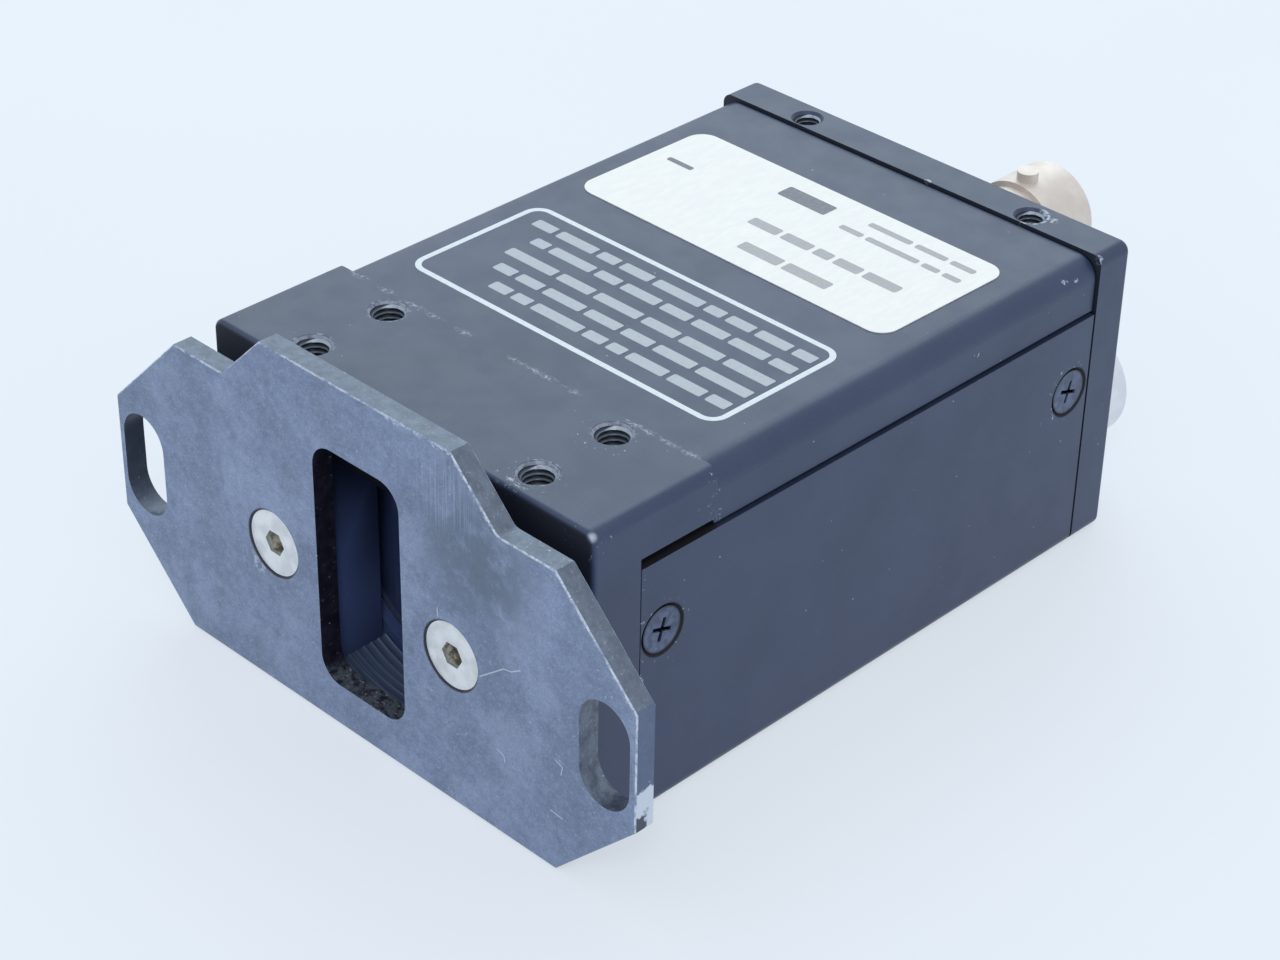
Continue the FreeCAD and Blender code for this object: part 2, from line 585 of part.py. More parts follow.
def make_sensor_board_screws():
    """Four pan-head screws from behind the sensor board into the block's posts."""
    screws = []
    tip = SENSOR_BOARD_REAR - POWER_SCREW_LENGTH
    for x, z in POST_PLACES:
        shank = rod_y(SMALL_SCREW_RADIUS, tip, SENSOR_BOARD_REAR, x, z)
        head = rod_y(SMALL_HEAD_RADIUS, SENSOR_BOARD_REAR, SENSOR_BOARD_REAR + SMALL_HEAD_HEIGHT, x, z)
        screws.append(shank.fuse(head))
    return Part.makeCompound(screws)


def make_upper_cover():
    """Top of the housing with two short flanges, screw holes over the pads and bosses for the boards."""
    y0, y1 = BLOCK_REAR + FRONT_SEAM, COVER_REAR
    outline = [(-COVER_HALF, FLANGE_BOTTOM, 0), (COVER_HALF, FLANGE_BOTTOM, 0),
               (COVER_HALF, COVER_TOP, COVER_BEND_RADIUS), (-COVER_HALF, COVER_TOP, COVER_BEND_RADIUS)]
    inner = COVER_HALF - SIDE_WALL
    inner_bend = COVER_BEND_RADIUS - SIDE_WALL
    hollow = [(-inner, FLANGE_BOTTOM - OVERCUT, 0), (inner, FLANGE_BOTTOM - OVERCUT, 0),
              (inner, CEILING, inner_bend), (-inner, CEILING, inner_bend)]
    cover = prism_y(outline, y0, y1).cut(prism_y(hollow, y0 - OVERCUT, y1 + OVERCUT))
    cover = cover.fuse([rod_z(BOSS_RADIUS, VIDEO_TOP, CEILING, x, y) for x, y in BOSS_PLACES])
    stud_top = VIDEO_BOTTOM + STUD_LENGTH
    holes = [rod_z(SMALL_SCREW_RADIUS + THREAD_FIT, VIDEO_TOP - OVERCUT, stud_top + THREAD_FIT, x, y)
             for x, y in BOSS_PLACES]
    for side in SIDES:
        for y in CHASSIS_SCREW_YS:
            holes.append(rod_z(SMALL_SCREW_RADIUS + THREAD_FIT, CEILING - OVERCUT,
                               CEILING + CHASSIS_SCREW_BITE + THREAD_FIT, side * CHASSIS_SCREW_X, y))
    return cover.cut(holes).removeSplitter()


def make_chassis_screws():
    """Four small screws from below the pads up into the upper cover."""
    length = CEILING + CHASSIS_SCREW_BITE - PAD_BOTTOM
    return Part.makeCompound([pan_screw_z(side * CHASSIS_SCREW_X, y, PAD_BOTTOM, length, 1)
                              for side in SIDES for y in CHASSIS_SCREW_YS])


def make_lower_cover():
    """U-shaped bottom and sides of the housing with four countersunk screw holes."""
    outline = [(-HALF_WIDTH, 0, BOTTOM_EDGE_RADIUS), (HALF_WIDTH, 0, BOTTOM_EDGE_RADIUS),
               (HALF_WIDTH, PARTING_HEIGHT, 0), (-HALF_WIDTH, PARTING_HEIGHT, 0)]
    y0, y1 = LOWER_COVER_FRONT + FRONT_SEAM, COVER_REAR
    inner = HALF_WIDTH - SIDE_WALL
    hollow = box(-inner, inner, y0 - OVERCUT, y1 + OVERCUT, SIDE_WALL, PARTING_HEIGHT + OVERCUT)
    sinks = []
    for side in SIDES:
        for y in SIDE_SCREW_YS:
            mouth = Vector(side * HALF_WIDTH, y, SIDE_SCREW_HEIGHT)
            sinks.append(Part.makeCone(SIDE_SINK_RADIUS, SIDE_SINK_RADIUS - SIDE_WALL, SIDE_WALL, mouth,
                                       Vector(-side, 0, 0)))
    return prism_y(outline, y0, y1).cut([hollow] + sinks)


def make_side_screws():
    """Four flat-head screws with a short straight rim and cross recesses, in the lower cover's countersinks."""
    screws = []
    sunk = SIDE_SINK_RADIUS - SIDE_HEAD_RADIUS - SEAT_FIT
    cone = SIDE_HEAD_RADIUS - SIDE_SCREW_RADIUS
    half = SIDE_RECESS_WIDTH / 2
    for side in SIDES:
        crown = HALF_WIDTH - sunk + SIDE_HEAD_LAND
        rim = crown - SIDE_HEAD_LAND
        for y in SIDE_SCREW_YS:
            z = SIDE_SCREW_HEIGHT
            inward = Vector(-side, 0, 0)
            land = Part.makeCylinder(SIDE_HEAD_RADIUS, SIDE_HEAD_LAND, Vector(side * crown, y, z), inward)
            head = Part.makeCone(SIDE_HEAD_RADIUS, SIDE_SCREW_RADIUS, cone, Vector(side * rim, y, z), inward)
            shank = Part.makeCylinder(SIDE_SCREW_RADIUS, SIDE_SCREW_LENGTH - cone,
                                      Vector(side * (rim - cone), y, z), inward)
            x0, x1 = sorted((side * (crown + OVERCUT), side * (crown - SIDE_RECESS_DEPTH)))
            arm = SIDE_RECESS_RADIUS
            cross = box(x0, x1, y - arm, y + arm, z - half, z + half)
            cross = cross.fuse(box(x0, x1, y - half, y + half, z - arm, z + arm))
            cross = cross.rotated(Vector(0, y, z), X_AXIS, SIDE_RECESS_TURN)
            screws.append(head.fuse([land, shank]).cut(cross).removeSplitter())
    return Part.makeCompound(screws)


def make_rear_panel():
    """Thick rear plate with connector holes, screw lugs, pads for the upper cover and two tapped holes."""
    panel = prism_y(housing_section(), PANEL_FRONT, REAR)
    panel = panel.makeFillet(END_EDGE_RADIUS, edges_at_y(panel, REAR))
    lugs = []
    for side in SIDES:
        x0, x1 = sorted((side * LUG_INNER, side * CORE_HALF))
        lugs.append(box(x0, x1, LUG_FRONT, PANEL_FRONT, SIDE_SCREW_HEIGHT - LUG_HEIGHT / 2,
                        SIDE_SCREW_HEIGHT + LUG_HEIGHT / 2))
    panel = panel.fuse(lugs + carrying_pads(REAR_PAD_FRONT, PANEL_FRONT))
    cuts = side_tapped_holes(SIDE_SCREW_YS[1], SIDE_SCREW_LENGTH)
    cuts.append(rod_y(JACK_NECK_RADIUS + HOLE_CLEARANCE, PANEL_FRONT - OVERCUT, REAR + OVERCUT,
                      JACK_X, JACK_HEIGHT))
    cuts.append(rod_y(MULTIPIN_NECK_RADIUS + HOLE_CLEARANCE, PANEL_FRONT - OVERCUT, REAR + OVERCUT,
                      MULTIPIN_X, MULTIPIN_HEIGHT))
    for side in SIDES:
        cuts.append(tapped_hole_z(PANEL_HOLE_RADIUS, PANEL_HOLE_DEPTH, HOUSING_HEIGHT,
                                  side * ACCESSORY_SPACING_X / 2, PANEL_FRONT + PANEL_HOLE_SETBACK))
    return panel.cut(cuts).removeSplitter()


def make_coax_jack_body():
    """Turned jack: inner flange, neck through the panel, bayonet shell with two lugs, and a tail."""
    x, z = JACK_X, JACK_HEIGHT
    flange_front = PANEL_FRONT - JACK_FLANGE_THICKNESS
    shell_front = JACK_MOUTH - JACK_SHELL_LENGTH
    shell = rod_y(JACK_SHELL_RADIUS, shell_front, JACK_MOUTH, x, z)
    shell = shell.makeChamfer(JACK_MOUTH_CHAMFER, edges_at_y(shell, JACK_MOUTH))
    lug_y = JACK_MOUTH - JACK_LUG_SETBACK
    pieces = [rod_y(JACK_FLANGE_RADIUS, flange_front, PANEL_FRONT, x, z),
              rod_y(JACK_TAIL_RADIUS, JACK_TAIL_FRONT, flange_front, x, z), shell,
              rod_z(JACK_LUG_RADIUS, z - JACK_LUG_REACH, z + JACK_LUG_REACH, x, lug_y)]
    body = rod_y(JACK_NECK_RADIUS, PANEL_FRONT, shell_front, x, z).fuse(pieces)
    cavity = rod_y(JACK_BORE_RADIUS, JACK_MOUTH - JACK_BORE_DEPTH, JACK_MOUTH + OVERCUT, x, z)
    bore = rod_y(INSULATOR_RADIUS + SEAT_FIT, JACK_TAIL_FRONT - OVERCUT, JACK_MOUTH, x, z)
    return body.cut([cavity, bore]).removeSplitter()


def make_coax_jack_insulator():
    """Insulating sleeve that carries the jack's centre contact."""
    return tube_y(INSULATOR_RADIUS, CONTACT_RADIUS + SEAT_FIT, JACK_TAIL_FRONT,
                  JACK_MOUTH - INSULATOR_SETBACK, JACK_X, JACK_HEIGHT)


def make_coax_jack_contact():
    """Centre contact from the connector board to the jack's mouth, drilled at its open end."""
    end = JACK_MOUTH - INSULATOR_SETBACK
    contact = rod_y(CONTACT_RADIUS, PIN_FRONT, end, JACK_X, JACK_HEIGHT)
    hole = rod_y(CONTACT_HOLE_RADIUS, end - CONTACT_HOLE_DEPTH, end + OVERCUT, JACK_X, JACK_HEIGHT)
    return contact.cut(hole)


def make_coax_jack_nut():
    """Hexagon nut that clamps the jack on the rear panel's outside."""
    nut = prism_y(hexagon(JACK_X, JACK_HEIGHT, JACK_NUT_FLATS), REAR, REAR + JACK_NUT_THICKNESS)
    return nut.cut(rod_y(JACK_NECK_RADIUS + THREAD_FIT, REAR - OVERCUT, REAR + JACK_NUT_THICKNESS + OVERCUT,
                         JACK_X, JACK_HEIGHT))


def make_multipin_shell():
    """Connector shell: keyed barrel, flange on the panel's outside and a neck through the panel."""
    x, z = MULTIPIN_X, MULTIPIN_HEIGHT
    mouth = REAR + MULTIPIN_REACH
    shell = rod_y(MULTIPIN_NECK_RADIUS, MULTIPIN_NECK_FRONT, REAR, x, z)
    shell = shell.fuse([rod_y(MULTIPIN_FLANGE_RADIUS, REAR, REAR + MULTIPIN_FLANGE_THICKNESS, x, z),
                        rod_y(MULTIPIN_BARREL_RADIUS, REAR, mouth, x, z)])
    inner = MULTIPIN_BARREL_RADIUS - MULTIPIN_BARREL_WALL
    shell = shell.cut([rod_y(inner, INSERT_SEAT, mouth + OVERCUT, x, z),
                       rod_y(MULTIPIN_BORE, MULTIPIN_NECK_FRONT - OVERCUT, mouth, x, z)])
    key = box(x - MULTIPIN_KEY_WIDTH / 2, x + MULTIPIN_KEY_WIDTH / 2, INSERT_FACE + SEAT_FIT,
              mouth - INSERT_RIM, z + inner - MULTIPIN_KEY_HEIGHT, z + inner + MULTIPIN_BARREL_WALL / 2)
    return shell.fuse(key).removeSplitter()


def make_multipin_insert():
    """Plastic insert that holds the pins, with a rim that seats on the shell's shoulder."""
    x, z = MULTIPIN_X, MULTIPIN_HEIGHT
    rim_radius = MULTIPIN_BARREL_RADIUS - MULTIPIN_BARREL_WALL - SEAT_FIT
    insert = rod_y(MULTIPIN_BORE - SEAT_FIT, MULTIPIN_NECK_FRONT, INSERT_SEAT, x, z)
    insert = insert.fuse(rod_y(rim_radius, INSERT_SEAT, INSERT_FACE, x, z))
    holes = [rod_y(PIN_RADIUS + SEAT_FIT, MULTIPIN_NECK_FRONT - OVERCUT, INSERT_FACE + OVERCUT, px, pz)
             for px, pz in PIN_PLACES]
    return insert.cut(holes).removeSplitter()


def make_multipin_pins():
    """Round contact pins in two rings, from the connector board into the barrel."""
    end = REAR + MULTIPIN_REACH - PIN_SETBACK
    return Part.makeCompound([rod_y(PIN_RADIUS, PIN_FRONT, end, px, pz) for px, pz in PIN_PLACES])


def make_multipin_nut():
    """Ring nut on the connector's neck, against the panel's inside."""
    return tube_y(MULTIPIN_NUT_RADIUS, MULTIPIN_NECK_RADIUS + THREAD_FIT,
                  PANEL_FRONT - MULTIPIN_NUT_THICKNESS, PANEL_FRONT, MULTIPIN_X, MULTIPIN_HEIGHT)


def make_connector_board():
    """Upright board that the pins and the jack's contact are soldered into."""
    half = LUG_INNER - BOARD_MARGIN
    bottom = MULTIPIN_HEIGHT - MULTIPIN_BARREL_RADIUS
    top = bottom + CONNECTOR_BOARD_HEIGHT
    board = box(-half, half, CONNECTOR_BOARD_FRONT, CONNECTOR_BOARD_REAR, bottom, top)
    start, end = CONNECTOR_BOARD_FRONT - OVERCUT, CONNECTOR_BOARD_REAR + OVERCUT
    holes = [rod_y(PIN_RADIUS + SEAT_FIT, start, end, px, pz) for px, pz in PIN_PLACES]
    holes.append(rod_y(CONTACT_RADIUS + SEAT_FIT, start, end, JACK_X, JACK_HEIGHT))
    return board.cut(holes)


def main_board(z0):
    """Level board with four mounting holes, its underside at z0."""
    z1 = z0 + BOARD_THICKNESS
    board = box(-BOARD_WIDTH / 2, BOARD_WIDTH / 2, BOARD_FRONT, BOARD_REAR, z0, z1)
    hole_radius = SMALL_SCREW_RADIUS + HOLE_CLEARANCE
    return board.cut([rod_z(hole_radius, z0 - OVERCUT, z1 + OVERCUT, x, y) for x, y in BOSS_PLACES])


def parts_on_board(layout, z0):
    """Block-shaped components (x, y from the board's middle, width, length, height) standing on a board."""
    blocks = []
    for x, y, width, length, height in layout:
        corners = rectangle(x, BOARD_MIDDLE + y, width, length, 0)
        blocks.append(prism_z(corners, z0, z0 + height))
    return Part.makeCompound(blocks)


def make_clock_crystal():
    """Round-ended metal can of the clock crystal on the video board."""
    width, length, height = CRYSTAL_SIZE
    x, y = CRYSTAL_PLACE
    return prism_z(rectangle(x, BOARD_MIDDLE + y, width, length, width / 2), VIDEO_TOP, VIDEO_TOP + height)


def make_board_standoffs():
    """Four hexagonal standoffs between the boards, with studs through the video board into the bosses."""
    standoffs = []
    for x, y in BOSS_PLACES:
        body = prism_z(hexagon(x, y, STANDOFF_FLATS), POWER_TOP, VIDEO_BOTTOM)
        stud = rod_z(SMALL_SCREW_RADIUS, VIDEO_BOTTOM, VIDEO_BOTTOM + STUD_LENGTH, x, y)
        hole = rod_z(SMALL_SCREW_RADIUS + THREAD_FIT, POWER_TOP - OVERCUT,
                     POWER_TOP + POWER_SCREW_LENGTH, x, y)
        standoffs.append(body.fuse(stud).cut(hole).removeSplitter())
    return Part.makeCompound(standoffs)


def make_power_board_screws():
    """Four pan-head screws from below the power board into the standoffs."""
    return Part.makeCompound([pan_screw_z(x, y, POWER_BOTTOM, POWER_SCREW_LENGTH, 1)
                              for x, y in BOSS_PLACES])


def stack_half(z0, z1):
    """One half of the stacking connector, beside the standoffs."""
    x = -(BOARD_WIDTH / 2 - BOARD_HOLE_INSET)
    return prism_z(rectangle(x, BOARD_MIDDLE, STACK_WIDTH, STACK_LENGTH, 0), z0, z1)


def flex_cable(board_face, towards):
    """Flat cable from a socket on an upright board's face, curving up to a socket under the video board."""
    half = FLEX_THICKNESS / 2
    start = board_face + towards * FLEX_SOCKET_HEIGHT
    turn = start + towards * (FLEX_RUN + FLEX_BEND)
    top = VIDEO_BOTTOM - FLEX_SOCKET_HEIGHT
    outer, inner = FLEX_BEND + half, FLEX_BEND - half
    corners = [(start, AXIS_HEIGHT - half, 0), (turn + towards * half, AXIS_HEIGHT - half, outer),
               (turn + towards * half, top, 0), (turn - towards * half, top, 0),
               (turn - towards * half, AXIS_HEIGHT + half, inner), (start, AXIS_HEIGHT + half, 0)]
    return prism_x(corners, -FLEX_WIDTH / 2, FLEX_WIDTH / 2)


def flex_sockets_at(board_face, towards):
    """Pair of sockets for one flat cable: one on the upright board, one under the video board."""
    half_width, half_length = FLEX_WIDTH / 2 + FLEX_SOCKET_HEIGHT, FLEX_SOCKET_LENGTH / 2
    y0, y1 = sorted((board_face, board_face + towards * FLEX_SOCKET_HEIGHT))
    turn = board_face + towards * (FLEX_SOCKET_HEIGHT + FLEX_RUN + FLEX_BEND)
    return [box(-half_width, half_width, y0, y1, AXIS_HEIGHT - half_length, AXIS_HEIGHT + half_length),
            box(-half_width, half_width, turn - half_length, turn + half_length,
                VIDEO_BOTTOM - FLEX_SOCKET_HEIGHT, VIDEO_BOTTOM)]


def make_flex_sockets():
    """Four sockets of the two flat cables."""
    return Part.makeCompound(flex_sockets_at(SENSOR_BOARD_REAR, TO_REAR)
                             + flex_sockets_at(CONNECTOR_BOARD_FRONT, TO_FRONT))


def make_rating_label():
    """Thin label with rounded corners on the upper cover."""
    y = FRONT + LABEL_SETBACK + LABEL_LENGTH / 2
    corners = rectangle(LABEL_SHIFT, y, LABEL_WIDTH, LABEL_LENGTH, LABEL_RADIUS)
    label = prism_z(corners, COVER_TOP, COVER_TOP + LABEL_THICKNESS)
    return label.rotated(Vector(LABEL_SHIFT, y, 0), Z_AXIS, LABEL_TURN)


STACK_MIDDLE = (POWER_TOP + VIDEO_BOTTOM) / 2
NODES = {
    "adapter_plate": make_adapter_plate(),
    "plate_screws": make_plate_screws(),
    "mount_plug": make_mount_plug(),
    "lens_mount_ring": make_lens_mount_ring(),
    "filter_gasket": make_filter_gasket(),
    "filter_glass": make_filter_glass(),
    "front_block": make_front_block(),
    "sensor_package": make_sensor_package(),
    "sensor_die": make_sensor_die(),
    "sensor_lid_glass": make_sensor_lid_glass(),
    "sensor_board": make_sensor_board(),
    "sensor_board_screws": make_sensor_board_screws(),
    "upper_cover": make_upper_cover(),
    "chassis_screws": make_chassis_screws(),
    "lower_cover": make_lower_cover(),
    "side_screws": make_side_screws(),
    "rear_panel": make_rear_panel(),
    "coax_jack_body": make_coax_jack_body(),
    "coax_jack_insulator": make_coax_jack_insulator(),
    "coax_jack_contact": make_coax_jack_contact(),
    "coax_jack_nut": make_coax_jack_nut(),
    "multipin_shell": make_multipin_shell(),
    "multipin_insert": make_multipin_insert(),
    "multipin_pins": make_multipin_pins(),
    "multipin_nut": make_multipin_nut(),
    "connector_board": make_connector_board(),
    "video_board": main_board(VIDEO_BOTTOM),
    "video_board_chips": parts_on_board(CHIP_LAYOUT, VIDEO_TOP),
    "clock_crystal": make_clock_crystal(),
    "power_board": main_board(POWER_BOTTOM),
    "power_board_parts": parts_on_board(POWER_LAYOUT, POWER_TOP),
    "power_board_screws": make_power_board_screws(),
    "board_standoffs": make_board_standoffs(),
    "board_plug": stack_half(POWER_TOP, STACK_MIDDLE),
    "board_socket": stack_half(STACK_MIDDLE, VIDEO_BOTTOM),
    "flex_sockets": make_flex_sockets(),
    "sensor_flex": flex_cable(SENSOR_BOARD_REAR, TO_REAR),
    "rear_flex": flex_cable(CONNECTOR_BOARD_FRONT, TO_FRONT),
    "rating_label": make_rating_label(),
}

os.makedirs("parts", exist_ok=True)
for name, shape in NODES.items():
    shape.exportStep(f"parts/{name}.step")
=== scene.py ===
import math
from functools import reduce

import bmesh
import bpy
import numpy as np
from mathutils import Matrix


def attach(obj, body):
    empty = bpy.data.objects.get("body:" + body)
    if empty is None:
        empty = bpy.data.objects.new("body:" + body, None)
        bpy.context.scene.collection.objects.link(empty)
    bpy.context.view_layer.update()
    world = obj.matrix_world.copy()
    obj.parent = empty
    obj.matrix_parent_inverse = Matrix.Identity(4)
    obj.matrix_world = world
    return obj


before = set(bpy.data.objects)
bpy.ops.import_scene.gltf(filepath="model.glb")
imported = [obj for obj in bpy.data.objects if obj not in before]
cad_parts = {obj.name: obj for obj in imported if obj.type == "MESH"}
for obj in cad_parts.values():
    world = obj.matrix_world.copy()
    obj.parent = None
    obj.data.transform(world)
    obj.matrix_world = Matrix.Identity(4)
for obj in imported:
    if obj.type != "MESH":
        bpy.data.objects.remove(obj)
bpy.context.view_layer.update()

# Looks of the compact machine-vision camera and its steel adapter plate.
# Lengths are in millimetres in the part's own frame, and MM turns them into Blender's metres.

MM = 0.001

# Places that the solids give
HOUSING_TOP = 29.0
COVER_TOP = 28.7
LABEL_TOP = 28.78
AXIS_HEIGHT = 14.5
SEAM_Y = -19.0
REAR_SEAM_Y = 28.02
COVER_FRONT = -27.0
PLATE_FRONT = -36.25
SCREW_FACE = -36.08
MOUNT_FACE = -34.25
THREAD_END = -28.35
LENS_BORE = 12.7
PLUG_SLOT_HALF = 6.25
EAR_END = 30.65
SLOT_MIDDLE = (27.35, 14.05)
ACCESSORY_HOLES = ((-13.0, -29.25), (13.0, -29.25), (-13.0, -21.25), (13.0, -21.25))
ACCESSORY_MOUTH = 1.74
REAR_HOLES = ((-13.0, 29.75), (13.0, 29.75))
REAR_MOUTH = 1.45
PLATE_SCREWS = ((-10.6, 14.25), (10.6, 14.25))
SIDE_SCREWS = ((-24.7, 16.85), (25.4, 16.85))
LABEL_MIDDLE = (-0.3, 13.1)
LABEL_TURN = math.radians(-0.65)

# Shares of the axes that count in a distance from a line along the named axis
AROUND_X = (0.0, 1.0, 1.0)
AROUND_Y = (1.0, 0.0, 1.0)
AROUND_Z = (1.0, 1.0, 0.0)

# Shares of a speck's radius and of a stroke's width within which it is full
SPECK_CORE = 0.6
STROKE_CORE = 0.4


def tone(red, green, blue):
    """Linear colour of a colour written in display numbers from 0 to 255."""
    c = np.array([red, green, blue]) / 255
    linear = np.where(c <= 0.04045, c / 12.92, ((c + 0.055) / 1.055) ** 2.4)
    return (*linear.tolist(), 1.0)


class Finish:
    """One finish: a Principled shader, and short words for the nodes that feed it.
    Every pattern reads Object coordinates in millimetres."""

    def __init__(self, name, **constants):
        self.material = bpy.data.materials.new(name)
        self.material.use_nodes = True
        self.nodes = self.material.node_tree.nodes
        self.links = self.material.node_tree.links
        self.shader = self.nodes["Principled BSDF"]
        for socket, value in constants.items():
            self.shader.inputs[socket.replace("_", " ")].default_value = value
        self.place = self.vector("SCALE", self.make("TexCoord").outputs["Object"], 1 / MM)
        self.x, self.y, self.z = self.make("SeparateXYZ", {0: self.place}).outputs

    def put(self, socket, value):
        """A constant goes on the socket itself, and a node's output is linked to it."""
        if isinstance(value, bpy.types.NodeSocket):
            self.links.new(value, socket)
        else:
            socket.default_value = value

    def make(self, kind, inputs=None, **settings):
        """A node of this kind, with its settings and inputs."""
        node = self.nodes.new("ShaderNode" + kind)
        for name, value in settings.items():
            setattr(node, name, value)
        for key, value in (inputs or {}).items():
            self.put(node.inputs[key], value)
        return node

    def calc(self, operation, a, b=0.0, clamp=False):
        """One step of arithmetic on numbers."""
        return self.make("Math", {0: a, 1: b}, operation=operation, use_clamp=clamp).outputs[0]

    def vector(self, operation, a, b):
        """One step of arithmetic on vectors. SCALE takes a number as b, and DOT_PRODUCT and DISTANCE give
        a number."""
        node = self.make("VectorMath", {0: a, 3 if operation == "SCALE" else 1: b}, operation=operation)
        return node.outputs["Value" if operation in ("DOT_PRODUCT", "DISTANCE") else 0]

    def fold(self, operation, values):
        """One operation carried through several values, from the first to the last."""
        return reduce(lambda a, b: self.calc(operation, a, b), values)

    def plus(self, *values):
        """Sum of several values."""
        return self.fold("ADD", values)

    def times(self, *values):
        """Product of several values."""
        return self.fold("MULTIPLY", values)

    def most(self, *values):
        """Largest of several values."""
        return self.fold("MAXIMUM", values)

    def least(self, *values):
        """Smallest of several values."""
        return self.fold("MINIMUM", values)

    def unsigned(self, value):
        """A value without its sign."""
        return self.calc("ABSOLUTE", value)

    def away(self, value, at):
        """How far a coordinate is from a place, on either side of it."""
        return self.unsigned(self.calc("SUBTRACT", value, at))

    def ramp(self, value, low, high):
        """Smooth step from 0 at low to 1 at high, also where low is the larger."""
        inputs = {"Value": value, "From Min": low, "From Max": high}
        return self.make("MapRange", inputs, interpolation_type="SMOOTHSTEP").outputs[0]

    def scaled_place(self, size, shift):
        """Coordinates counted in features of this size, one size or one for each axis."""
        sizes = np.broadcast_to(np.asarray(size, float), 3)
        inputs = {"Vector": self.place, "Location": (shift, shift, shift), "Scale": tuple(1 / sizes)}
        return self.make("Mapping", inputs).outputs[0]

    def noise(self, size, detail=2.0, rough=0.5, shift=0.0):
        """Cloudy noise around one half, with features of this size."""
        place = self.scaled_place(size, shift)
        inputs = {"Vector": place, "Scale": 1.0, "Detail": detail, "Roughness": rough}
        return self.make("TexNoise", inputs).outputs[0]

    def cells(self, size, shift=0.0):
        """Distance to the nearest of scattered points, counted in the mean distance between them."""
        inputs = {"Vector": self.scaled_place(size, shift), "Scale": 1.0}
        return self.make("TexVoronoi", inputs).outputs["Distance"]

    def specks(self, size, radius, shift=0.0):
        """Scattered dots, one about every size millimetres in space, at most this share of it in radius."""
        return self.ramp(self.cells(size, shift), radius, radius * SPECK_CORE)

    def mix(self, share, a, b):
        """Colour a where share is 0 and b where it is 1."""
        return self.make("Mix", {0: share, 6: a, 7: b}, data_type="RGBA").outputs[2]

    def blend(self, share, a, b):
        """Number a where share is 0 and b where it is 1."""
        return self.make("Mix", {0: share, 2: a, 3: b}, data_type="FLOAT").outputs[0]

    def patches(self, colour, other, share, levels, *noise):
        """A colour with patches of another: noise between two levels says where, and share how strong."""
        where = self.ramp(self.noise(*noise), *levels)
        return self.mix(self.times(where, share), colour, other)

    def distance(self, point, keep=(1.0, 1.0, 1.0)):
        """Distance to a point, with each axis counted by the share in keep."""
        place = self.vector("MULTIPLY", self.place, keep)
        return self.vector("DISTANCE", place, tuple(p * k for p, k in zip(point, keep)))

    def reach(self, points, keep):
        """Distance to the nearest of several points, with each axis counted by the share in keep."""
        return self.least(*[self.distance(point, keep) for point in points])

    def spot(self, point, radius, soft):
        """1 within a radius of a point, falling to 0 over a further soft distance."""
        return self.ramp(self.distance(point), radius + soft, radius)

    def spots(self, places):
        """Several spots, each given as its point, radius and soft distance."""
        return self.most(*[self.spot(*place) for place in places])

    def line(self, value, at, width):
        """1 where a coordinate is at a place, falling to 0 over a width on both sides."""
        return self.ramp(self.away(value, at), width, 0.0)

    def scratch(self, points, width):
        """1 along a run of straight strokes, falling to 0 over a width: the nearest point of each stroke
        is its start plus its direction times the clamped share that the place projects to."""
        gaps = []
        for start, end in zip(points, points[1:]):
            way = np.subtract(end, start)
            share_way = tuple((way / (way @ way)).tolist())
            offset = self.vector("SUBTRACT", self.place, start)
            share = self.calc("ADD", self.vector("DOT_PRODUCT", offset, share_way), 0.0, clamp=True)
            foot = self.vector("SCALE", tuple(way.tolist()), share)
            gaps.append(self.vector("DISTANCE", offset, foot))
        return self.ramp(self.least(*gaps), width, width * STROKE_CORE)

    def facing(self, axis):
        """How far the surface faces along an axis, from -1 to 1."""
        normal = self.make("NewGeometry").outputs["True Normal"]
        return self.make("SeparateXYZ", {0: normal}).outputs[axis]

    def bump(self, height, depth, normal=None):
        """Surface normal of a relief of this depth."""
        inputs = {"Strength": 1.0, "Distance": depth * MM, "Height": height}
        if normal is not None:
            inputs["Normal"] = normal
        return self.make("Bump", inputs).outputs[0]

    def done(self, colour, roughness=None, normal=None, metallic=None):
        """Feeds the shader and gives the finished material."""
        wires = {"Base Color": colour, "Roughness": roughness, "Normal": normal, "Metallic": metallic}
        for socket, value in wires.items():
            if value is not None:
                self.put(self.shader.inputs[socket], value)
        return self.material


# Housing finishes

HOUSING_DYE = (tone(42, 56, 86), tone(48, 62, 93))
PLUG_DYE = (tone(74, 90, 136), tone(84, 100, 146))
HOUSING_PALE = tone(68, 83, 111)
# Colour of painted shade in the housing's gaps and recesses and in the side screws' cross slots
PAINTED_SHADE_TONE = tone(8, 10, 20)
BARE_ALUMINIUM = tone(190, 202, 216)
HOUSING_GLOSS = 0.5
PORT_GLOSS = 0.04
ANODISED_ROUGH = (0.33, 0.4)
BARE_ROUGH = 0.34
SUNK_ROUGH = 0.75

# Chips along the front seam, spots that were knocked, and a painted highlight on the block's corner: point,
# radius and soft distance
SEAM_CHIPS = (-19.2, -15.6, -12.2, -9.8, -6.2, 0.0, 2.1, 3.6, 6.2, 13.1, 14.8, 16.9, 19.1)
ALONG_SEAM = (0.5, 1.0, 0.0)
HOLE_GOUGE = ((12.9, -31.3, HOUSING_TOP), 0.4, 1.5)
CORNER_PAINTED_HIGHLIGHT = ((21.55, -31.95, 28.55), 0.12, 0.4)
BLOCK_KNOCKS = (((20.6, -31.9, 28.4), 0.5, 2.6), ((21.9, -19.6, 26.5), 0.4, 2.0))
COVER_KNOCKS = (
    ((21.4, 24.1, 28.0), 0.1, 0.5),
    ((21.5, 25.4, 27.8), 0.1, 0.4),
    ((21.6, 12.2, 25.9), 0.1, 0.4),
)
PANEL_KNOCKS = (
    ((15.1, 30.4, HOUSING_TOP), 0.2, 0.4),
    ((21.6, 28.2, 28.6), 0.2, 0.4),
    ((2.7, 28.1, HOUSING_TOP), 0.2, 0.3),
)

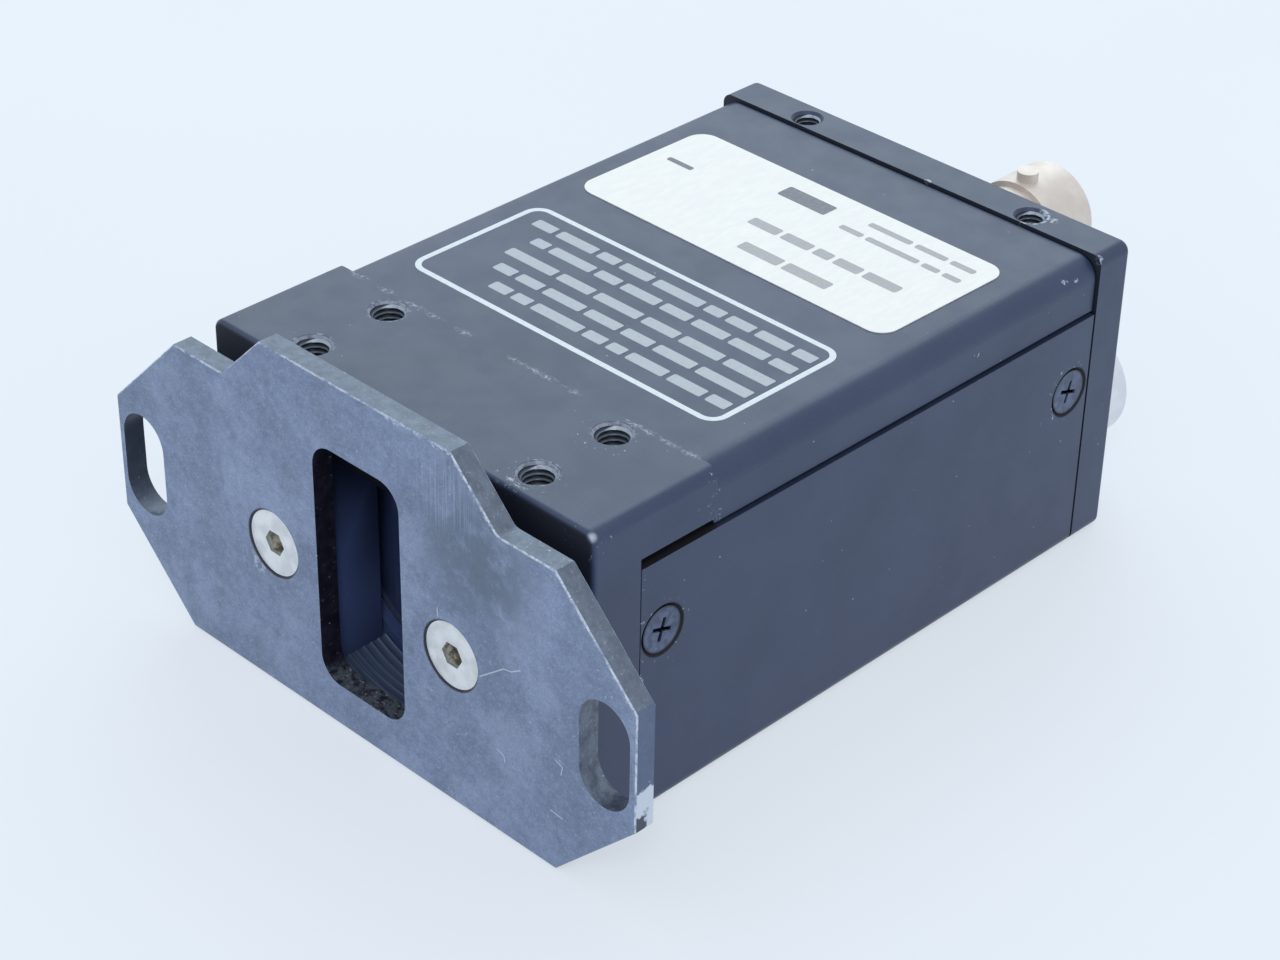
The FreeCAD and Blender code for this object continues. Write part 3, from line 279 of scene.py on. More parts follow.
# Borders on the housing and the plug, each from where a ramp is 0 to where it is 1
SIDE_FACES = (21.3, 21.7)
RECESS_INNER = (21.4, 21.2)
RECESS_TOP = (24.62, 24.5)
RECESS_FRONT = (-27.35, -27.25)
RIGHT_HALF_OF_HOLE = (12.6, 13.6)
SIDE_SINK_CHIPS = (3.3, 2.4)
SIDE_SINK_RIM = (2.4, 2.28)
PLUG_UPPER_END = (11.0, 22.5)
PLUG_INNER_END = (MOUNT_FACE + 0.6, THREAD_END - 0.3)
PLUG_INNER_HEIGHT = (7.0, 15.0)


def anodised_finish(name, wear=None, sunk=None, rings=False, dye=HOUSING_DYE, gloss=HOUSING_GLOSS):
    """Satin anodising: an even dye with faint clouds, a blasted grain and a little dust. wear gives where it
    is rubbed or chipped down to the bare metal, and on the block a painted highlight too, sunk gives the
    gaps and recesses that get painted shade, and rings adds the marks of turning."""
    f = Finish(name, Specular_IOR_Level=gloss)
    clouds = f.ramp(f.noise(11.0, 3.0), 0.3, 0.7)
    grain = f.noise(0.14, 2.0, 0.6)
    colour = f.mix(clouds, *dye)
    colour = f.mix(f.times(f.ramp(grain, 0.52, 0.8), 0.5), colour, HOUSING_PALE)
    dust = f.times(f.most(f.specks(3.4, 0.03, 4.0), f.specks(2.0, 0.032, 9.0)), 0.5)
    colour = f.mix(dust, colour, BARE_ALUMINIUM)
    roughness = f.blend(f.ramp(f.noise(3.0, 3.0), 0.3, 0.7), *ANODISED_ROUGH)
    # Bare metal where it is worn, and on the block also a painted highlight
    if wear is not None:
        chips = wear(f)
        colour = f.mix(chips, colour, BARE_ALUMINIUM)
        roughness = f.blend(chips, roughness, BARE_ROUGH)
    # Painted shade where sunk says
    if sunk is not None:
        shade = sunk(f)
        colour = f.mix(shade, colour, PAINTED_SHADE_TONE)
        roughness = f.blend(shade, roughness, SUNK_ROUGH)
    normal = f.bump(grain, 0.006)
    if rings:
        turned = f.make("TexWave", {"Vector": f.place, "Scale": 2.2, "Distortion": 0.4},
                        wave_type="BANDS", bands_direction="Y").outputs["Fac"]
        normal = f.bump(turned, 0.004, normal)
    return f.done(colour, roughness, normal)


def chipped(f, share, where):
    """Breaks a wear zone up into small chips: noise is cut off at a level that the share lowers."""
    chips = f.ramp(f.noise(0.42, 3.0, 0.6, 7.0), 1.0 - share, 1.08 - share)
    return f.times(chips, f.ramp(where, 0.1, 0.6))


def seam_wear(f, top):
    """Soft pale scuffs along the seam between block and cover, at the places where it was knocked, and a few
    chips where it runs down the sides."""
    reach = f.reach([(x, SEAM_Y, 0.0) for x in SEAM_CHIPS], ALONG_SEAM)
    rubs = f.times(f.ramp(reach, 0.7, 0.1), f.ramp(f.noise(0.3, 3.0, 0.65, 3.0), 0.42, 0.68))
    rubs = f.times(rubs, f.ramp(f.z, top - 0.5, top - 0.2), 0.65)
    side = f.times(f.line(f.y, SEAM_Y, 1.2), f.ramp(f.unsigned(f.x), *SIDE_FACES))
    return f.most(rubs, f.times(chipped(f, 0.42, side), 0.6))


def block_wear(f):
    """Scuffs along the seam, glints at the mouths of the tapped holes, chips at the right-hand holes and at
    the corner, and a painted highlight in the tone of bare metal on the corner's apex."""
    top = f.ramp(f.z, HOUSING_TOP - 0.8, HOUSING_TOP - 0.3)
    reach = f.reach([(*hole, 0.0) for hole in ACCESSORY_HOLES], AROUND_Z)
    edge = f.line(reach, ACCESSORY_MOUTH, 0.2)
    edge = f.times(edge, f.ramp(f.noise(0.4, 3.0, 0.6, 5.0), 0.5, 0.64), 0.5)
    mouth = f.ramp(reach, ACCESSORY_MOUTH + 0.02, ACCESSORY_MOUTH - 0.08)
    mouth = f.times(mouth, f.ramp(f.noise(0.6, 3.0, 0.6, 2.0), 0.2, 0.6), 0.55)
    around = f.spots([((x, y - 0.8, HOUSING_TOP), 1.6, 2.0) for x, y in ACCESSORY_HOLES[1::2]])
    gouges = f.ramp(f.noise((0.9, 0.55, 0.6), 3.0, 0.65, 4.0), 0.58, 0.66)
    return f.most(
        f.times(f.most(edge, mouth), top),
        seam_wear(f, HOUSING_TOP),
        f.times(chipped(f, 0.36, around), 0.7),
        f.times(gouges, f.spot(*HOLE_GOUGE), 0.75),
        f.times(chipped(f, 0.35, f.spots(BLOCK_KNOCKS)), 0.75),
        # Painted highlight on the block's front right corner, in the tone of bare metal
        f.times(f.spot(*CORNER_PAINTED_HIGHLIGHT), 0.8),
    )


def block_painted_shade(f):
    """Painted shade: in the recess that the lower cover sits in, and on the front face behind the plate."""
    inner = f.ramp(f.unsigned(f.x), *RECESS_INNER)
    recess = f.times(inner, f.ramp(f.z, *RECESS_TOP), f.ramp(f.y, *RECESS_FRONT))
    return f.most(recess, f.times(f.ramp(f.facing(1), -0.7, -0.97), 0.85))


def plug_painted_shade(f):
    """Painted shade: on the plug's face behind the plate, and at the upper and inner ends of its slot."""
    face = f.ramp(f.facing(1), -0.6, -0.9)
    upper = f.times(f.ramp(f.z, *PLUG_UPPER_END), 0.88)
    strength = f.blend(f.ramp(f.z, *PLUG_INNER_HEIGHT), 0.35, 0.75)
    return f.most(face, upper, f.times(f.ramp(f.y, *PLUG_INNER_END), strength))


def cover_wear(f):
    """Rubs along the front seam and a few faint knocks on the right-hand edge."""
    return f.most(seam_wear(f, COVER_TOP), f.times(chipped(f, 0.5, f.spots(COVER_KNOCKS)), 0.7))


def panel_wear(f):
    """Bright rim of the right tapped hole, a knock beside it and chips along the seam."""
    rim = f.line(f.distance((*REAR_HOLES[1], 0.0), AROUND_Z), REAR_MOUTH, 0.4)
    rim = f.times(rim, f.ramp(f.x, *RIGHT_HALF_OF_HOLE))
    return f.times(f.most(chipped(f, 0.56, rim), chipped(f, 0.52, f.spots(PANEL_KNOCKS))), 0.75)


def side_screw_reach(f):
    """Distance from the axis of the nearest side screw."""
    return f.reach([(0.0, y, z) for y, z in SIDE_SCREWS], AROUND_X)


def side_wear(f):
    """Small chips round the countersinks of the side screws and on the cover's front edge."""
    sinks = chipped(f, 0.37, f.ramp(side_screw_reach(f), *SIDE_SINK_CHIPS))
    return f.times(f.most(sinks, chipped(f, 0.4, f.line(f.y, COVER_FRONT, 0.5))), 0.75)


def side_painted_shade(f):
    """Painted shade in the countersinks round the heads of the side screws, and on the upper edge in the gap
    under the upper cover, darkest in the block's recess."""
    sinks = f.ramp(side_screw_reach(f), *SIDE_SINK_RIM)
    recess = f.blend(f.ramp(f.y, SEAM_Y + 0.4, SEAM_Y), 0.45, 1.0)
    return f.most(sinks, f.times(f.ramp(f.facing(2), 0.6, 0.9), recess))


def rear_seam_painted_shade(f):
    """Painted shade on the walls of the seam between the upper cover and the rear panel."""
    near = f.ramp(f.away(f.y, REAR_SEAM_Y), 0.4, 0.2)
    return f.times(near, f.ramp(f.unsigned(f.facing(1)), 0.6, 0.9), 0.8)


# Plate and screws

PLATE_DEEP = tone(112, 126, 154)
PLATE_TONE = tone(131, 146, 176)
PLATE_PALE = tone(154, 168, 197)
PLATE_SMUDGE = tone(96, 109, 128)
PLATE_EDGE = tone(112, 124, 141)
PLATE_EDGE_DARK = tone(94, 104, 119)
PLATE_END = tone(84, 99, 132)
PLATE_WORN = tone(206, 215, 228)
# Tone of the slots: painted shade in the left one, stains in the right one
SLOT_DARK = tone(56, 63, 80)
# Near-black tones of painted shade on the window's walls
WINDOW_DARK = tone(20, 19, 32)
WINDOW_WALL = tone(44, 40, 58)
WINDOW_GROUND = tone(104, 114, 124)
# Painted shade in the gap of the plate screws' countersinks
SINK_PAINTED_SHADE = tone(40, 45, 58)
KNOCK_DARK = tone(70, 78, 92)
SCREW_PALE = tone(228, 230, 232)
SCREW_DARK = tone(208, 211, 214)
# Socket tones: painted light on the socket's walls, mottled with painted shade
SOCKET_PALE = tone(206, 203, 190)
SOCKET_DARK = tone(104, 100, 84)
OXIDE_PALE = tone(90, 102, 130)
OXIDE_DARK = tone(66, 78, 104)
# Painted shade round the rim of the side screws' heads
SCREW_RIM_PAINTED_SHADE = tone(26, 32, 48)
PLATE_ROUGH = (0.48, 0.4)
WORN_ROUGH = 0.32
SCREW_ROUGH = 0.32
TURNING_PITCH = 0.22

# Patches on the plate's faces: tone, share, levels, and the noise's size, detail, roughness and shift
PLATE_PATCHES = (
    (PLATE_SMUDGE, 0.32, (0.46, 0.62), 9.0, 3.0, 0.6, 14.0),
    (PLATE_PALE, 0.4, (0.48, 0.64), 7.0, 3.0, 0.6, 31.0),
    (PLATE_SMUDGE, 0.55, (0.52, 0.74), 2.4, 5.0, 0.7, 9.0),
    (PLATE_PALE, 0.55, (0.54, 0.76), 0.55, 4.0, 0.7, 11.0),
)

# Spots on the plate's front: point, radius and soft distance
GROUND_SPOT = ((10.2, PLATE_FRONT, 29.0), 1.0, 4.0)
DARK_PATCH = ((13.5, PLATE_FRONT, 24.6), 2.2, 6.5)
SCREW_BURR = ((-12.6, PLATE_FRONT, 11.4), 0.4, 0.9)

# Nicks and scratches on the plate's front, each a run of places across and up
PLATE_NICKS = (
    ((22.3, 27.75), (30.4, 19.6)),
    ((11.2, 32.7), (15.9, 28.0)),
    ((4.0, 32.85), (10.9, 32.85)),
)
PLATE_SCRATCHES = (
    ((13.9, 14.1), (16.6, 16.25), (17.4, 16.4), (18.4, 17.05)),
    ((22.15, 10.75), (22.95, 10.45), (22.8, 9.65)),
    ((15.8, 8.15), (16.5, 7.9), (16.6, 7.4)),
    ((21.7, 5.6), (22.95, 5.5)),
    ((9.2, 18.1), (9.25, 17.3)),
)

# Borders on the plate and the screws, each from where a ramp is 0 to where it is 1
SLOT_SIDES = (2.95, 2.75)
SLOT_ENDS = (5.1, 4.95)
RIGHT_SLOT = (-1.0, 1.0)
LEFT_SLOT_SHADE = (9.5, 14.0)
BRIGHTER_EDGES = (4.0, 16.0)
WINDOW_SIDES = (5.45, 5.25)
WINDOW_LOWER = (3.3, 3.7)
WINDOW_UPPER = (27.3, 27.0)
WINDOW_GROUND_TOP = (5.4, 4.1)
EAR_TIP = (EAR_END - 0.3, EAR_END - 0.1)
KNOCK_LOWER = (7.4, 7.9)
KNOCK_UPPER = (12.5, 12.2)
HOLLOW_TOP = (10.0, 10.3)
HOLLOW_REAR = (-35.3, -35.0)
PLATE_SINK_RIM = (3.19, 3.06)
SCREW_HEAD_RIM = (3.2, 3.0)
SOCKET_DEPTH = (SCREW_FACE + 0.12, SCREW_FACE + 0.4)
SIDE_HEAD_RIM = (1.8, 2.05)
SIDE_SLOT_DEPTH = (21.8, 21.66)


def plate_front(f):
    """Colour of the plate's faces: cloudy slate with smudges, pale mottles, a fine grain and grinding lines.
    Also gives the clouds and the lines, for gloss and relief."""
    clouds = f.plus(f.times(f.noise(6.0, 4.0, 0.65), 0.4), f.times(f.noise(0.9, 5.0, 0.7, 3.0), 0.6))
    colour = f.mix(f.ramp(clouds, 0.34, 0.66), PLATE_DEEP, PLATE_TONE)
    for patch in PLATE_PATCHES:
        colour = f.patches(colour, *patch)
    grain = f.noise(0.2, 2.0, 0.7, 6.0)
    colour = f.mix(f.times(f.ramp(grain, 0.52, 0.76), 0.7), colour, PLATE_PALE)
    colour = f.mix(f.times(f.ramp(grain, 0.48, 0.22), 0.65), colour, PLATE_SMUDGE)
    stain = f.times(f.spot(*DARK_PATCH), f.ramp(f.noise(1.6, 4.0, 0.65, 5.0), 0.25, 0.55))
    colour = f.mix(f.times(stain, 0.85), colour, PLATE_SMUDGE)
    lines = f.ramp(f.noise((0.16, 5.0, 7.0), 2.0, 0.6), 0.42, 0.62)
    grinding = f.times(f.spot(*GROUND_SPOT), lines)
    return f.mix(f.times(grinding, 0.5), colour, PLATE_PALE), clouds, grinding


def window_walls(f):
    """Colour of the window's walls: near-black painted shade with faint marks, over a rough grey lower end.
    """
    wall = f.mix(f.ramp(f.noise(0.9, 3.0, 0.6, 4.0), 0.35, 0.7), WINDOW_DARK, WINDOW_WALL)
    wall = f.patches(wall, PLATE_WORN, 0.4, (0.66, 0.8), (0.35, 0.7, 0.3), 2.0, 0.6, 5.0)
    rough = f.mix(f.ramp(f.noise(0.5, 3.0, 0.65, 3.0), 0.36, 0.6), WINDOW_WALL, WINDOW_GROUND)
    rough = f.patches(rough, PLATE_WORN, 0.7, (0.6, 0.72), 0.3, 2.0, 0.6, 9.0)
    return f.mix(f.ramp(f.z, *WINDOW_GROUND_TOP), wall, rough)


def plate_edges(f):
    """Colour of the plate's edge faces: soft grey clouds, a bluer right end, darker slots, and the walls of
    the window. The left slot gets painted shade, darkest at its upper end, and the right one is stained."""
    clouds = f.ramp(f.noise(1.1, 5.0, 0.7, 2.0), 0.32, 0.7)
    colour = f.mix(clouds, PLATE_EDGE_DARK, PLATE_EDGE)
    colour = f.patches(colour, PLATE_WORN, 0.28, (0.58, 0.76), 0.3, 3.0, 0.6, 8.0)
    colour = f.mix(f.times(f.ramp(f.x, *EAR_TIP), 0.7), colour, PLATE_END)
    across, up = f.away(f.unsigned(f.x), SLOT_MIDDLE[0]), f.away(f.z, SLOT_MIDDLE[1])
    slot = f.times(f.ramp(across, *SLOT_SIDES), f.ramp(up, *SLOT_ENDS))
    # Painted shade in the left slot, darkest at its upper end; stains in the right one
    left = f.blend(f.ramp(f.z, *LEFT_SLOT_SHADE), 0.25, 0.8)
    right = f.times(f.ramp(f.noise((0.8, 0.8, 1.3), 4.0, 0.65, 2.0), 0.4, 0.66), 0.55)
    slot_shade_and_stain = f.blend(f.ramp(f.x, *RIGHT_SLOT), left, right)
    colour = f.mix(f.times(slot, slot_shade_and_stain), colour, SLOT_DARK)
    window = f.ramp(f.unsigned(f.x), *WINDOW_SIDES)
    window = f.times(window, f.ramp(f.z, *WINDOW_LOWER), f.ramp(f.z, *WINDOW_UPPER))
    return f.mix(window, colour, window_walls(f))


def plate_strokes(f, runs, width):
    """Strokes of this width on the plate's front."""
    return f.most(*[f.scratch([(x, PLATE_FRONT, z) for x, z in run], width) for run in runs])


def plate_wear(f, flat):
    """Bright places of the plate: broken lines and nicks on its upper edges, scratches, pits, and the burr
    at the left screw. flat is 1 on the faces and 0 on the edges."""
    slant = f.unsigned(f.facing(1))
    edge = f.times(
        f.ramp(slant, 0.3, 0.5),
        f.ramp(slant, 0.96, 0.85),
        f.ramp(f.facing(2), -0.35, -0.1),
        f.ramp(f.noise(1.3, 4.0, 0.7, 1.0), 0.34, 0.58),
        f.ramp(f.noise(0.4, 4.0, 0.75, 3.0), 0.32, 0.54),
        f.blend(f.ramp(f.x, *BRIGHTER_EDGES), 0.75, 0.95),
    )
    nicks = f.times(
        plate_strokes(f, PLATE_NICKS, 0.3),
        f.ramp(f.noise(0.34, 5.0, 0.75, 12.0), 0.5, 0.6),
        f.ramp(f.noise(2.1, 2.0, 0.5, 8.0), 0.36, 0.6),
        0.8,
    )
    scratches = f.times(plate_strokes(f, PLATE_SCRATCHES, 0.07), 0.7)
    fine_pits = f.times(f.specks(0.7, 0.06, 5.0), f.ramp(f.noise(5.0), 0.5, 0.65))
    pits = f.times(f.most(f.specks(1.5, 0.06), fine_pits), 0.5)
    burr = f.times(f.spot(*SCREW_BURR), f.ramp(f.noise(0.5, 3.0, 0.6, 6.0), 0.45, 0.6), 0.5)
    return f.most(edge, f.times(nicks, flat), scratches, pits, burr)


def ear_knock(f, colour, flat):
    """Bare metal where the right ear's end was knocked, with a dark hollow at its lower front corner."""
    end = f.times(f.ramp(f.x, *EAR_TIP), f.calc("SUBTRACT", 1.0, flat), f.ramp(f.z, *KNOCK_LOWER))
    border = f.times(f.calc("SUBTRACT", f.noise(1.1, 3.0, 0.6, 8.0), 0.5), 2.0)
    height, depth = f.plus(f.z, border), f.plus(f.y, border)
    knocked = f.times(end, f.ramp(height, *KNOCK_UPPER))
    bare = f.most(f.ramp(height, *HOLLOW_TOP), f.ramp(depth, *HOLLOW_REAR))
    colour = f.mix(knocked, colour, KNOCK_DARK)
    return f.mix(f.times(knocked, bare), colour, PLATE_WORN)


def plate_finish():
    """Blackened steel: slate faces, greyer edges, bright worn places and painted shade in the countersinks.
    """
    f = Finish("blackened_plate", Specular_IOR_Level=0.5, Metallic=0.4)
    flat = f.ramp(f.unsigned(f.facing(1)), 0.5, 0.6)
    front, clouds, grinding = plate_front(f)
    colour = ear_knock(f, f.mix(flat, plate_edges(f), front), flat)
    worn = plate_wear(f, flat)
    colour = f.mix(worn, colour, PLATE_WORN)
    reach = f.reach([(x, 0.0, z) for x, z in PLATE_SCREWS], AROUND_Y)
    # Painted shade in the countersinks
    colour = f.mix(f.ramp(reach, *PLATE_SINK_RIM), colour, SINK_PAINTED_SHADE)
    roughness = f.blend(f.ramp(clouds, 0.35, 0.65), *PLATE_ROUGH)
    roughness = f.blend(worn, roughness, WORN_ROUGH)
    normal = f.bump(f.noise(0.35, 4.0, 0.65, 4.0), 0.012)
    normal = f.bump(f.times(grinding, -1.0), 0.006, normal)
    return f.done(colour, roughness, normal)


def plate_screw_finish():
    """Turned screw heads: rings round each axis, and a darker socket below the head's face, with painted
    light and shade.
    """
    f = Finish("bright_plate_screws")
    rings = []
    for x, z in PLATE_SCREWS:
        reach = f.distance((x, 0.0, z), AROUND_Y)
        wave = f.calc("SINE", f.times(reach, 2 * math.pi / TURNING_PITCH))
        rings.append(f.times(wave, f.ramp(reach, *SCREW_HEAD_RIM)))
    grain = f.noise(0.3, 3.0, 0.6)
    colour = f.mix(f.ramp(f.noise(1.3, 3.0), 0.35, 0.65), SCREW_DARK, SCREW_PALE)
    socket_painted_light = f.mix(f.ramp(f.noise(0.7, 3.0, 0.6, 4.0), 0.4, 0.6), SOCKET_DARK, SOCKET_PALE)
    sunk = f.ramp(f.y, *SOCKET_DEPTH)
    # Painted light and shade on the socket's walls
    colour = f.mix(sunk, colour, socket_painted_light)
    roughness = f.blend(f.ramp(grain, 0.3, 0.7), SCREW_ROUGH, SCREW_ROUGH + 0.1)
    normal = f.bump(f.plus(*rings), 0.003, f.bump(grain, 0.002))
    return f.done(colour, roughness, normal, f.blend(sunk, 0.85, 0.1))


def side_screw_finish():
    """Oxide-black side screws: a fine grain, bright glints where the driver turned, a rim of painted shade,
    and painted shade in the cross slots.
    """
    f = Finish("black_side_screws", Metallic=0.3)
    colour = f.mix(f.ramp(f.noise(0.7, 3.0), 0.35, 0.65), OXIDE_DARK, OXIDE_PALE)
    colour = f.patches(colour, PLATE_WORN, 0.5, (0.66, 0.76), 0.35, 3.0, 0.6, 3.0)
    # Painted shade round the head's rim
    colour = f.mix(f.ramp(side_screw_reach(f), *SIDE_HEAD_RIM), colour, SCREW_RIM_PAINTED_SHADE)
    # Painted shade in the cross slots
    slots = f.ramp(f.unsigned(f.x), *SIDE_SLOT_DEPTH)
    colour = f.mix(f.times(slots, 0.92), colour, PAINTED_SHADE_TONE)
    roughness = f.blend(f.ramp(f.noise(0.5, 2.0), 0.3, 0.7), 0.32, 0.44)
    return f.done(colour, roughness, f.bump(f.noise(0.2, 2.0), 0.004))


# Prints and label

INK_WHITE = tone(226, 236, 242)
INK_DARK = tone(84, 92, 108)
LABEL_WHITE = tone(244, 245, 242)
LABEL_FIBRE = tone(239, 240, 238)


def film_finish():
    """White label film: a faint pulp pattern and a soft satin face."""
    f = Finish("white_label_film", Roughness=0.42)
    fibres = f.noise((0.5, 1.6, 0.5), 3.0, 0.6)
    colour = f.mix(f.ramp(fibres, 0.35, 0.7), LABEL_FIBRE, LABEL_WHITE)
    return f.done(colour, normal=f.bump(fibres, 0.0015))


def ink_finish(name, ink, ground):
    """Screen-printed ink, as dense as the piece's ink attribute says, with thin spots and pinholes."""
    f = Finish(name, Roughness=0.5)
    dense = f.make("Attribute", attribute_name="ink").outputs["Fac"]
    thin = f.ramp(f.noise(0.4, 3.0, 0.6), 0.42, 0.75)
    pinholes = f.ramp(f.noise(0.2, 3.0, 0.6, 5.0), 0.68, 0.78)
    share = f.times(dense, f.blend(thin, 1.0, 0.9), f.blend(pinholes, 1.0, 0.85))
    return f.done(f.mix(share, ground, ink), normal=f.bump(pinholes, -0.004))


# Connectors, glass and electronics

GLASS_WIPE = tone(236, 244, 246)
MASK_GREEN = tone(18, 84, 56)
TRACK_GREEN = tone(36, 112, 74)
PAD_GOLD = tone(206, 184, 120)
DIE_VIOLET = tone(86, 74, 112)
DIE_GREEN = tone(74, 98, 96)
DIE_PIXEL = tone(140, 140, 160)
FLEX_AMBER = tone(176, 112, 40)
FLEX_RUN = tone(198, 132, 58)
FLEX_DARK = tone(150, 90, 30)
GLASS_IOR = 1.52
PIXEL_WAVES = 40.0
FLEX_PITCH = 0.5


def plated_finish(name, pale, dark, rough, size):
    """Plated metal: slightly clouded tone, fine turning grain and varied gloss."""
    f = Finish(name, Metallic=1.0)
    colour = f.mix(f.ramp(f.noise(size, 3.0), 0.35, 0.68), dark, pale)
    grain = f.noise((0.5, 0.1, 0.5), 3.0, 0.6)
    roughness = f.blend(f.ramp(grain, 0.3, 0.7), rough, rough + 0.12)
    return f.done(colour, roughness, f.bump(grain, 0.003))


def moulded_finish(name, pale, dark, rough, size=0.3):
    """Moulded plastic, rubber or ceramic: fine grain in colour, gloss and relief."""
    f = Finish(name)
    grain = f.noise(size, 3.0, 0.6)
    colour = f.mix(f.ramp(grain, 0.35, 0.7), dark, pale)
    colour = f.patches(colour, dark, 0.3, (0.4, 0.7), size * 12, 2.0)
    roughness = f.blend(f.ramp(f.noise(size * 3, 2.0), 0.3, 0.7), rough, rough + 0.12)
    return f.done(colour, roughness, f.bump(grain, 0.008))


def glass_finish(name, tint, clear=1.0, gloss=0.5, rough=0.02):
    """Polished glass with the faintest wipe marks in tint and gloss. clear is the share that shows through
    it, and a coating against reflections lowers the gloss."""
    f = Finish(name, Transmission_Weight=clear, IOR=GLASS_IOR, Specular_IOR_Level=gloss)
    wipes = f.ramp(f.noise((2.0, 2.0, 6.0), 3.0), 0.45, 0.7)
    return f.done(f.mix(f.times(wipes, 0.06), tint, GLASS_WIPE), f.blend(wipes, rough, rough + 0.05))


def board_finish():
    """Green solder mask over copper runs and pads: the runs come from noise stretched along each way."""
    f = Finish("solder_mask")
    tracks = f.most(f.ramp(f.noise((0.5, 5.0, 5.0), 1.0), 0.53, 0.57),
                    f.ramp(f.noise((5.0, 0.5, 5.0), 1.0, 0.5, 6.0), 0.54, 0.58))
    colour = f.mix(tracks, MASK_GREEN, TRACK_GREEN)
    colour = f.mix(f.specks(2.4, 0.14, 3.0), colour, PAD_GOLD)
    return f.done(colour, f.blend(tracks, 0.38, 0.3), f.bump(tracks, 0.03))


def die_finish():
    """Sensor die: a fine square pixel grid that shifts from violet to green over the face."""
    f = Finish("silicon_die", Metallic=0.6)
    grid = f.times(f.calc("SINE", f.times(f.x, PIXEL_WAVES)), f.calc("SINE", f.times(f.z, PIXEL_WAVES)))
    colour = f.mix(f.ramp(f.noise(5.0), 0.35, 0.65), DIE_VIOLET, DIE_GREEN)
    colour = f.mix(f.times(f.ramp(grid, -0.4, 0.6), 0.3), colour, DIE_PIXEL)
    return f.done(colour, f.blend(f.ramp(grid, -0.5, 0.5), 0.12, 0.2))


def flex_finish():
    """Amber flat cable with copper runs along its length."""
    f = Finish("amber_flex")
    runs = f.ramp(f.calc("SINE", f.times(f.x, 2 * math.pi / FLEX_PITCH)), -0.2, 0.3)
    colour = f.mix(runs, FLEX_AMBER, FLEX_RUN)
    colour = f.mix(f.times(f.noise(2.0, 2.0), 0.3), colour, FLEX_DARK)
    return f.done(colour, f.blend(runs, 0.34, 0.26), f.bump(runs, 0.02))


def thread_finish(name, groove, ridge_tone, mouth):
    """Cut thread: painted shade in the grooves, painted light on the paler crests, and a worn mouth, by the
    crest attribute of the surface.
    """
    f = Finish(name, Metallic=0.2)
    crest = f.make("Attribute", attribute_name="crest").outputs["Fac"]
    # Painted shade in the grooves and painted light on the crests
    colour = f.mix(f.ramp(crest, 0.3, 0.95), groove, ridge_tone)
    worn = f.times(f.ramp(crest, 1.05, 1.25), f.ramp(f.noise(0.6, 3.0), 0.2, 0.5))
    colour = f.mix(worn, colour, mouth)
    roughness = f.blend(f.ramp(crest, 0.4, 1.0), 0.45, 0.36)
    return f.done(colour, roughness, f.bump(f.noise(0.2, 2.0), 0.004))


# Pieces that Blender adds: threads in the bores, print on the cover and the label

# Threads: where they lie, their radius at root and crest, their pitch, and the steps along it and round
THREAD_TOP = HOUSING_TOP - 0.255
ACCESSORY_THREAD = {"depth": 4.1, "root": 1.49, "crest": 1.25, "pitch": 0.5}
REAR_THREAD = {"depth": 3.1, "root": 1.24, "crest": 1.02, "pitch": 0.45}
LENS_ROOT = 12.69
LENS_CREST = 12.27
LENS_PITCH = 25.4 / 32
LENS_THREAD_FRONT = MOUNT_FACE + 0.1
LENS_THREAD_REAR = THREAD_END - 0.1
LENS_HALF_ANGLE = math.asin(PLUG_SLOT_HALF / LENS_BORE)
PITCH_STEPS = 10
HOLE_STEPS = 40
LENS_STEPS = 48
MOUTH_CREST = 1.3
MERGE_DISTANCE = 1e-4

# The ink's rise over the ground, at the places across a bar's half width and a frame's line, how dense it
# is, and the shape of its bars
INK_LIFT = 0.002
INK_RISE = np.array([0.0, 1.0, 1.0, 0.0]) * 0.02
BAR_ACROSS = np.array([-1.0, -0.96, 0.96, 1.0])
FRAME_ACROSS = np.array([-0.5, -0.45, 0.45, 0.5])
INK_IN_ROWS = 0.6
INK_IN_BLOCKS = 0.9
INK_IN_FRAME = 1.0
BAR_CORNER = 0.2
BAR_CORNER_POINTS = 4
BAR_LENGTHS = (1.6, 5.8)
BAR_GAP = 0.5
LEAST_ROOM = 1.2

# The cover's frame (left, right, front, rear), and its rows (place along, left end)
COVER_SEED = 11
COVER_FRAME = (-17.92, 16.97, -14.34, 0.46)
FRAME_CORNER = 1.4
FRAME_CORNER_POINTS = 9
FRAME_LINE = 0.56
COVER_ROWS = ((-11.75, -11.9), (-9.3, -13.4), (-6.8, -14.6), (-4.1, -13.8), (-1.7, -17.0))
COVER_ROWS_START = 16.2
COVER_BAR_HEIGHT = 1.2

# The label's rows (place along, right end, left end, height) and blocks (middle, length, height)
LABEL_SEED = 5
LABEL_ROWS = (
    (8.1, 9.1, -1.0, 1.3),
    (11.9, 13.5, -3.7, 1.2),
    (16.7, 16.0, 2.6, 0.7),
    (18.8, 15.9, 4.1, 0.7),
)
LABEL_BLOCKS = ((-2.5, 18.0, 5.5, 1.9), (-15.0, 14.9, 3.0, 0.6))


def grid_faces(rows, columns, wrap_rows=False, wrap_columns=False):
    """Four corners of each cell of a grid of points, counted row by row."""
    cell_rows = np.arange(rows - (not wrap_rows))
    cell_columns = np.arange(columns - (not wrap_columns))
    r, c = (index.ravel() for index in np.meshgrid(cell_rows, cell_columns, indexing="ij"))
    down, right = (r + 1) % rows, (c + 1) % columns
    return np.stack([r * columns + c, r * columns + right, down * columns + right, down * columns + c], 1)


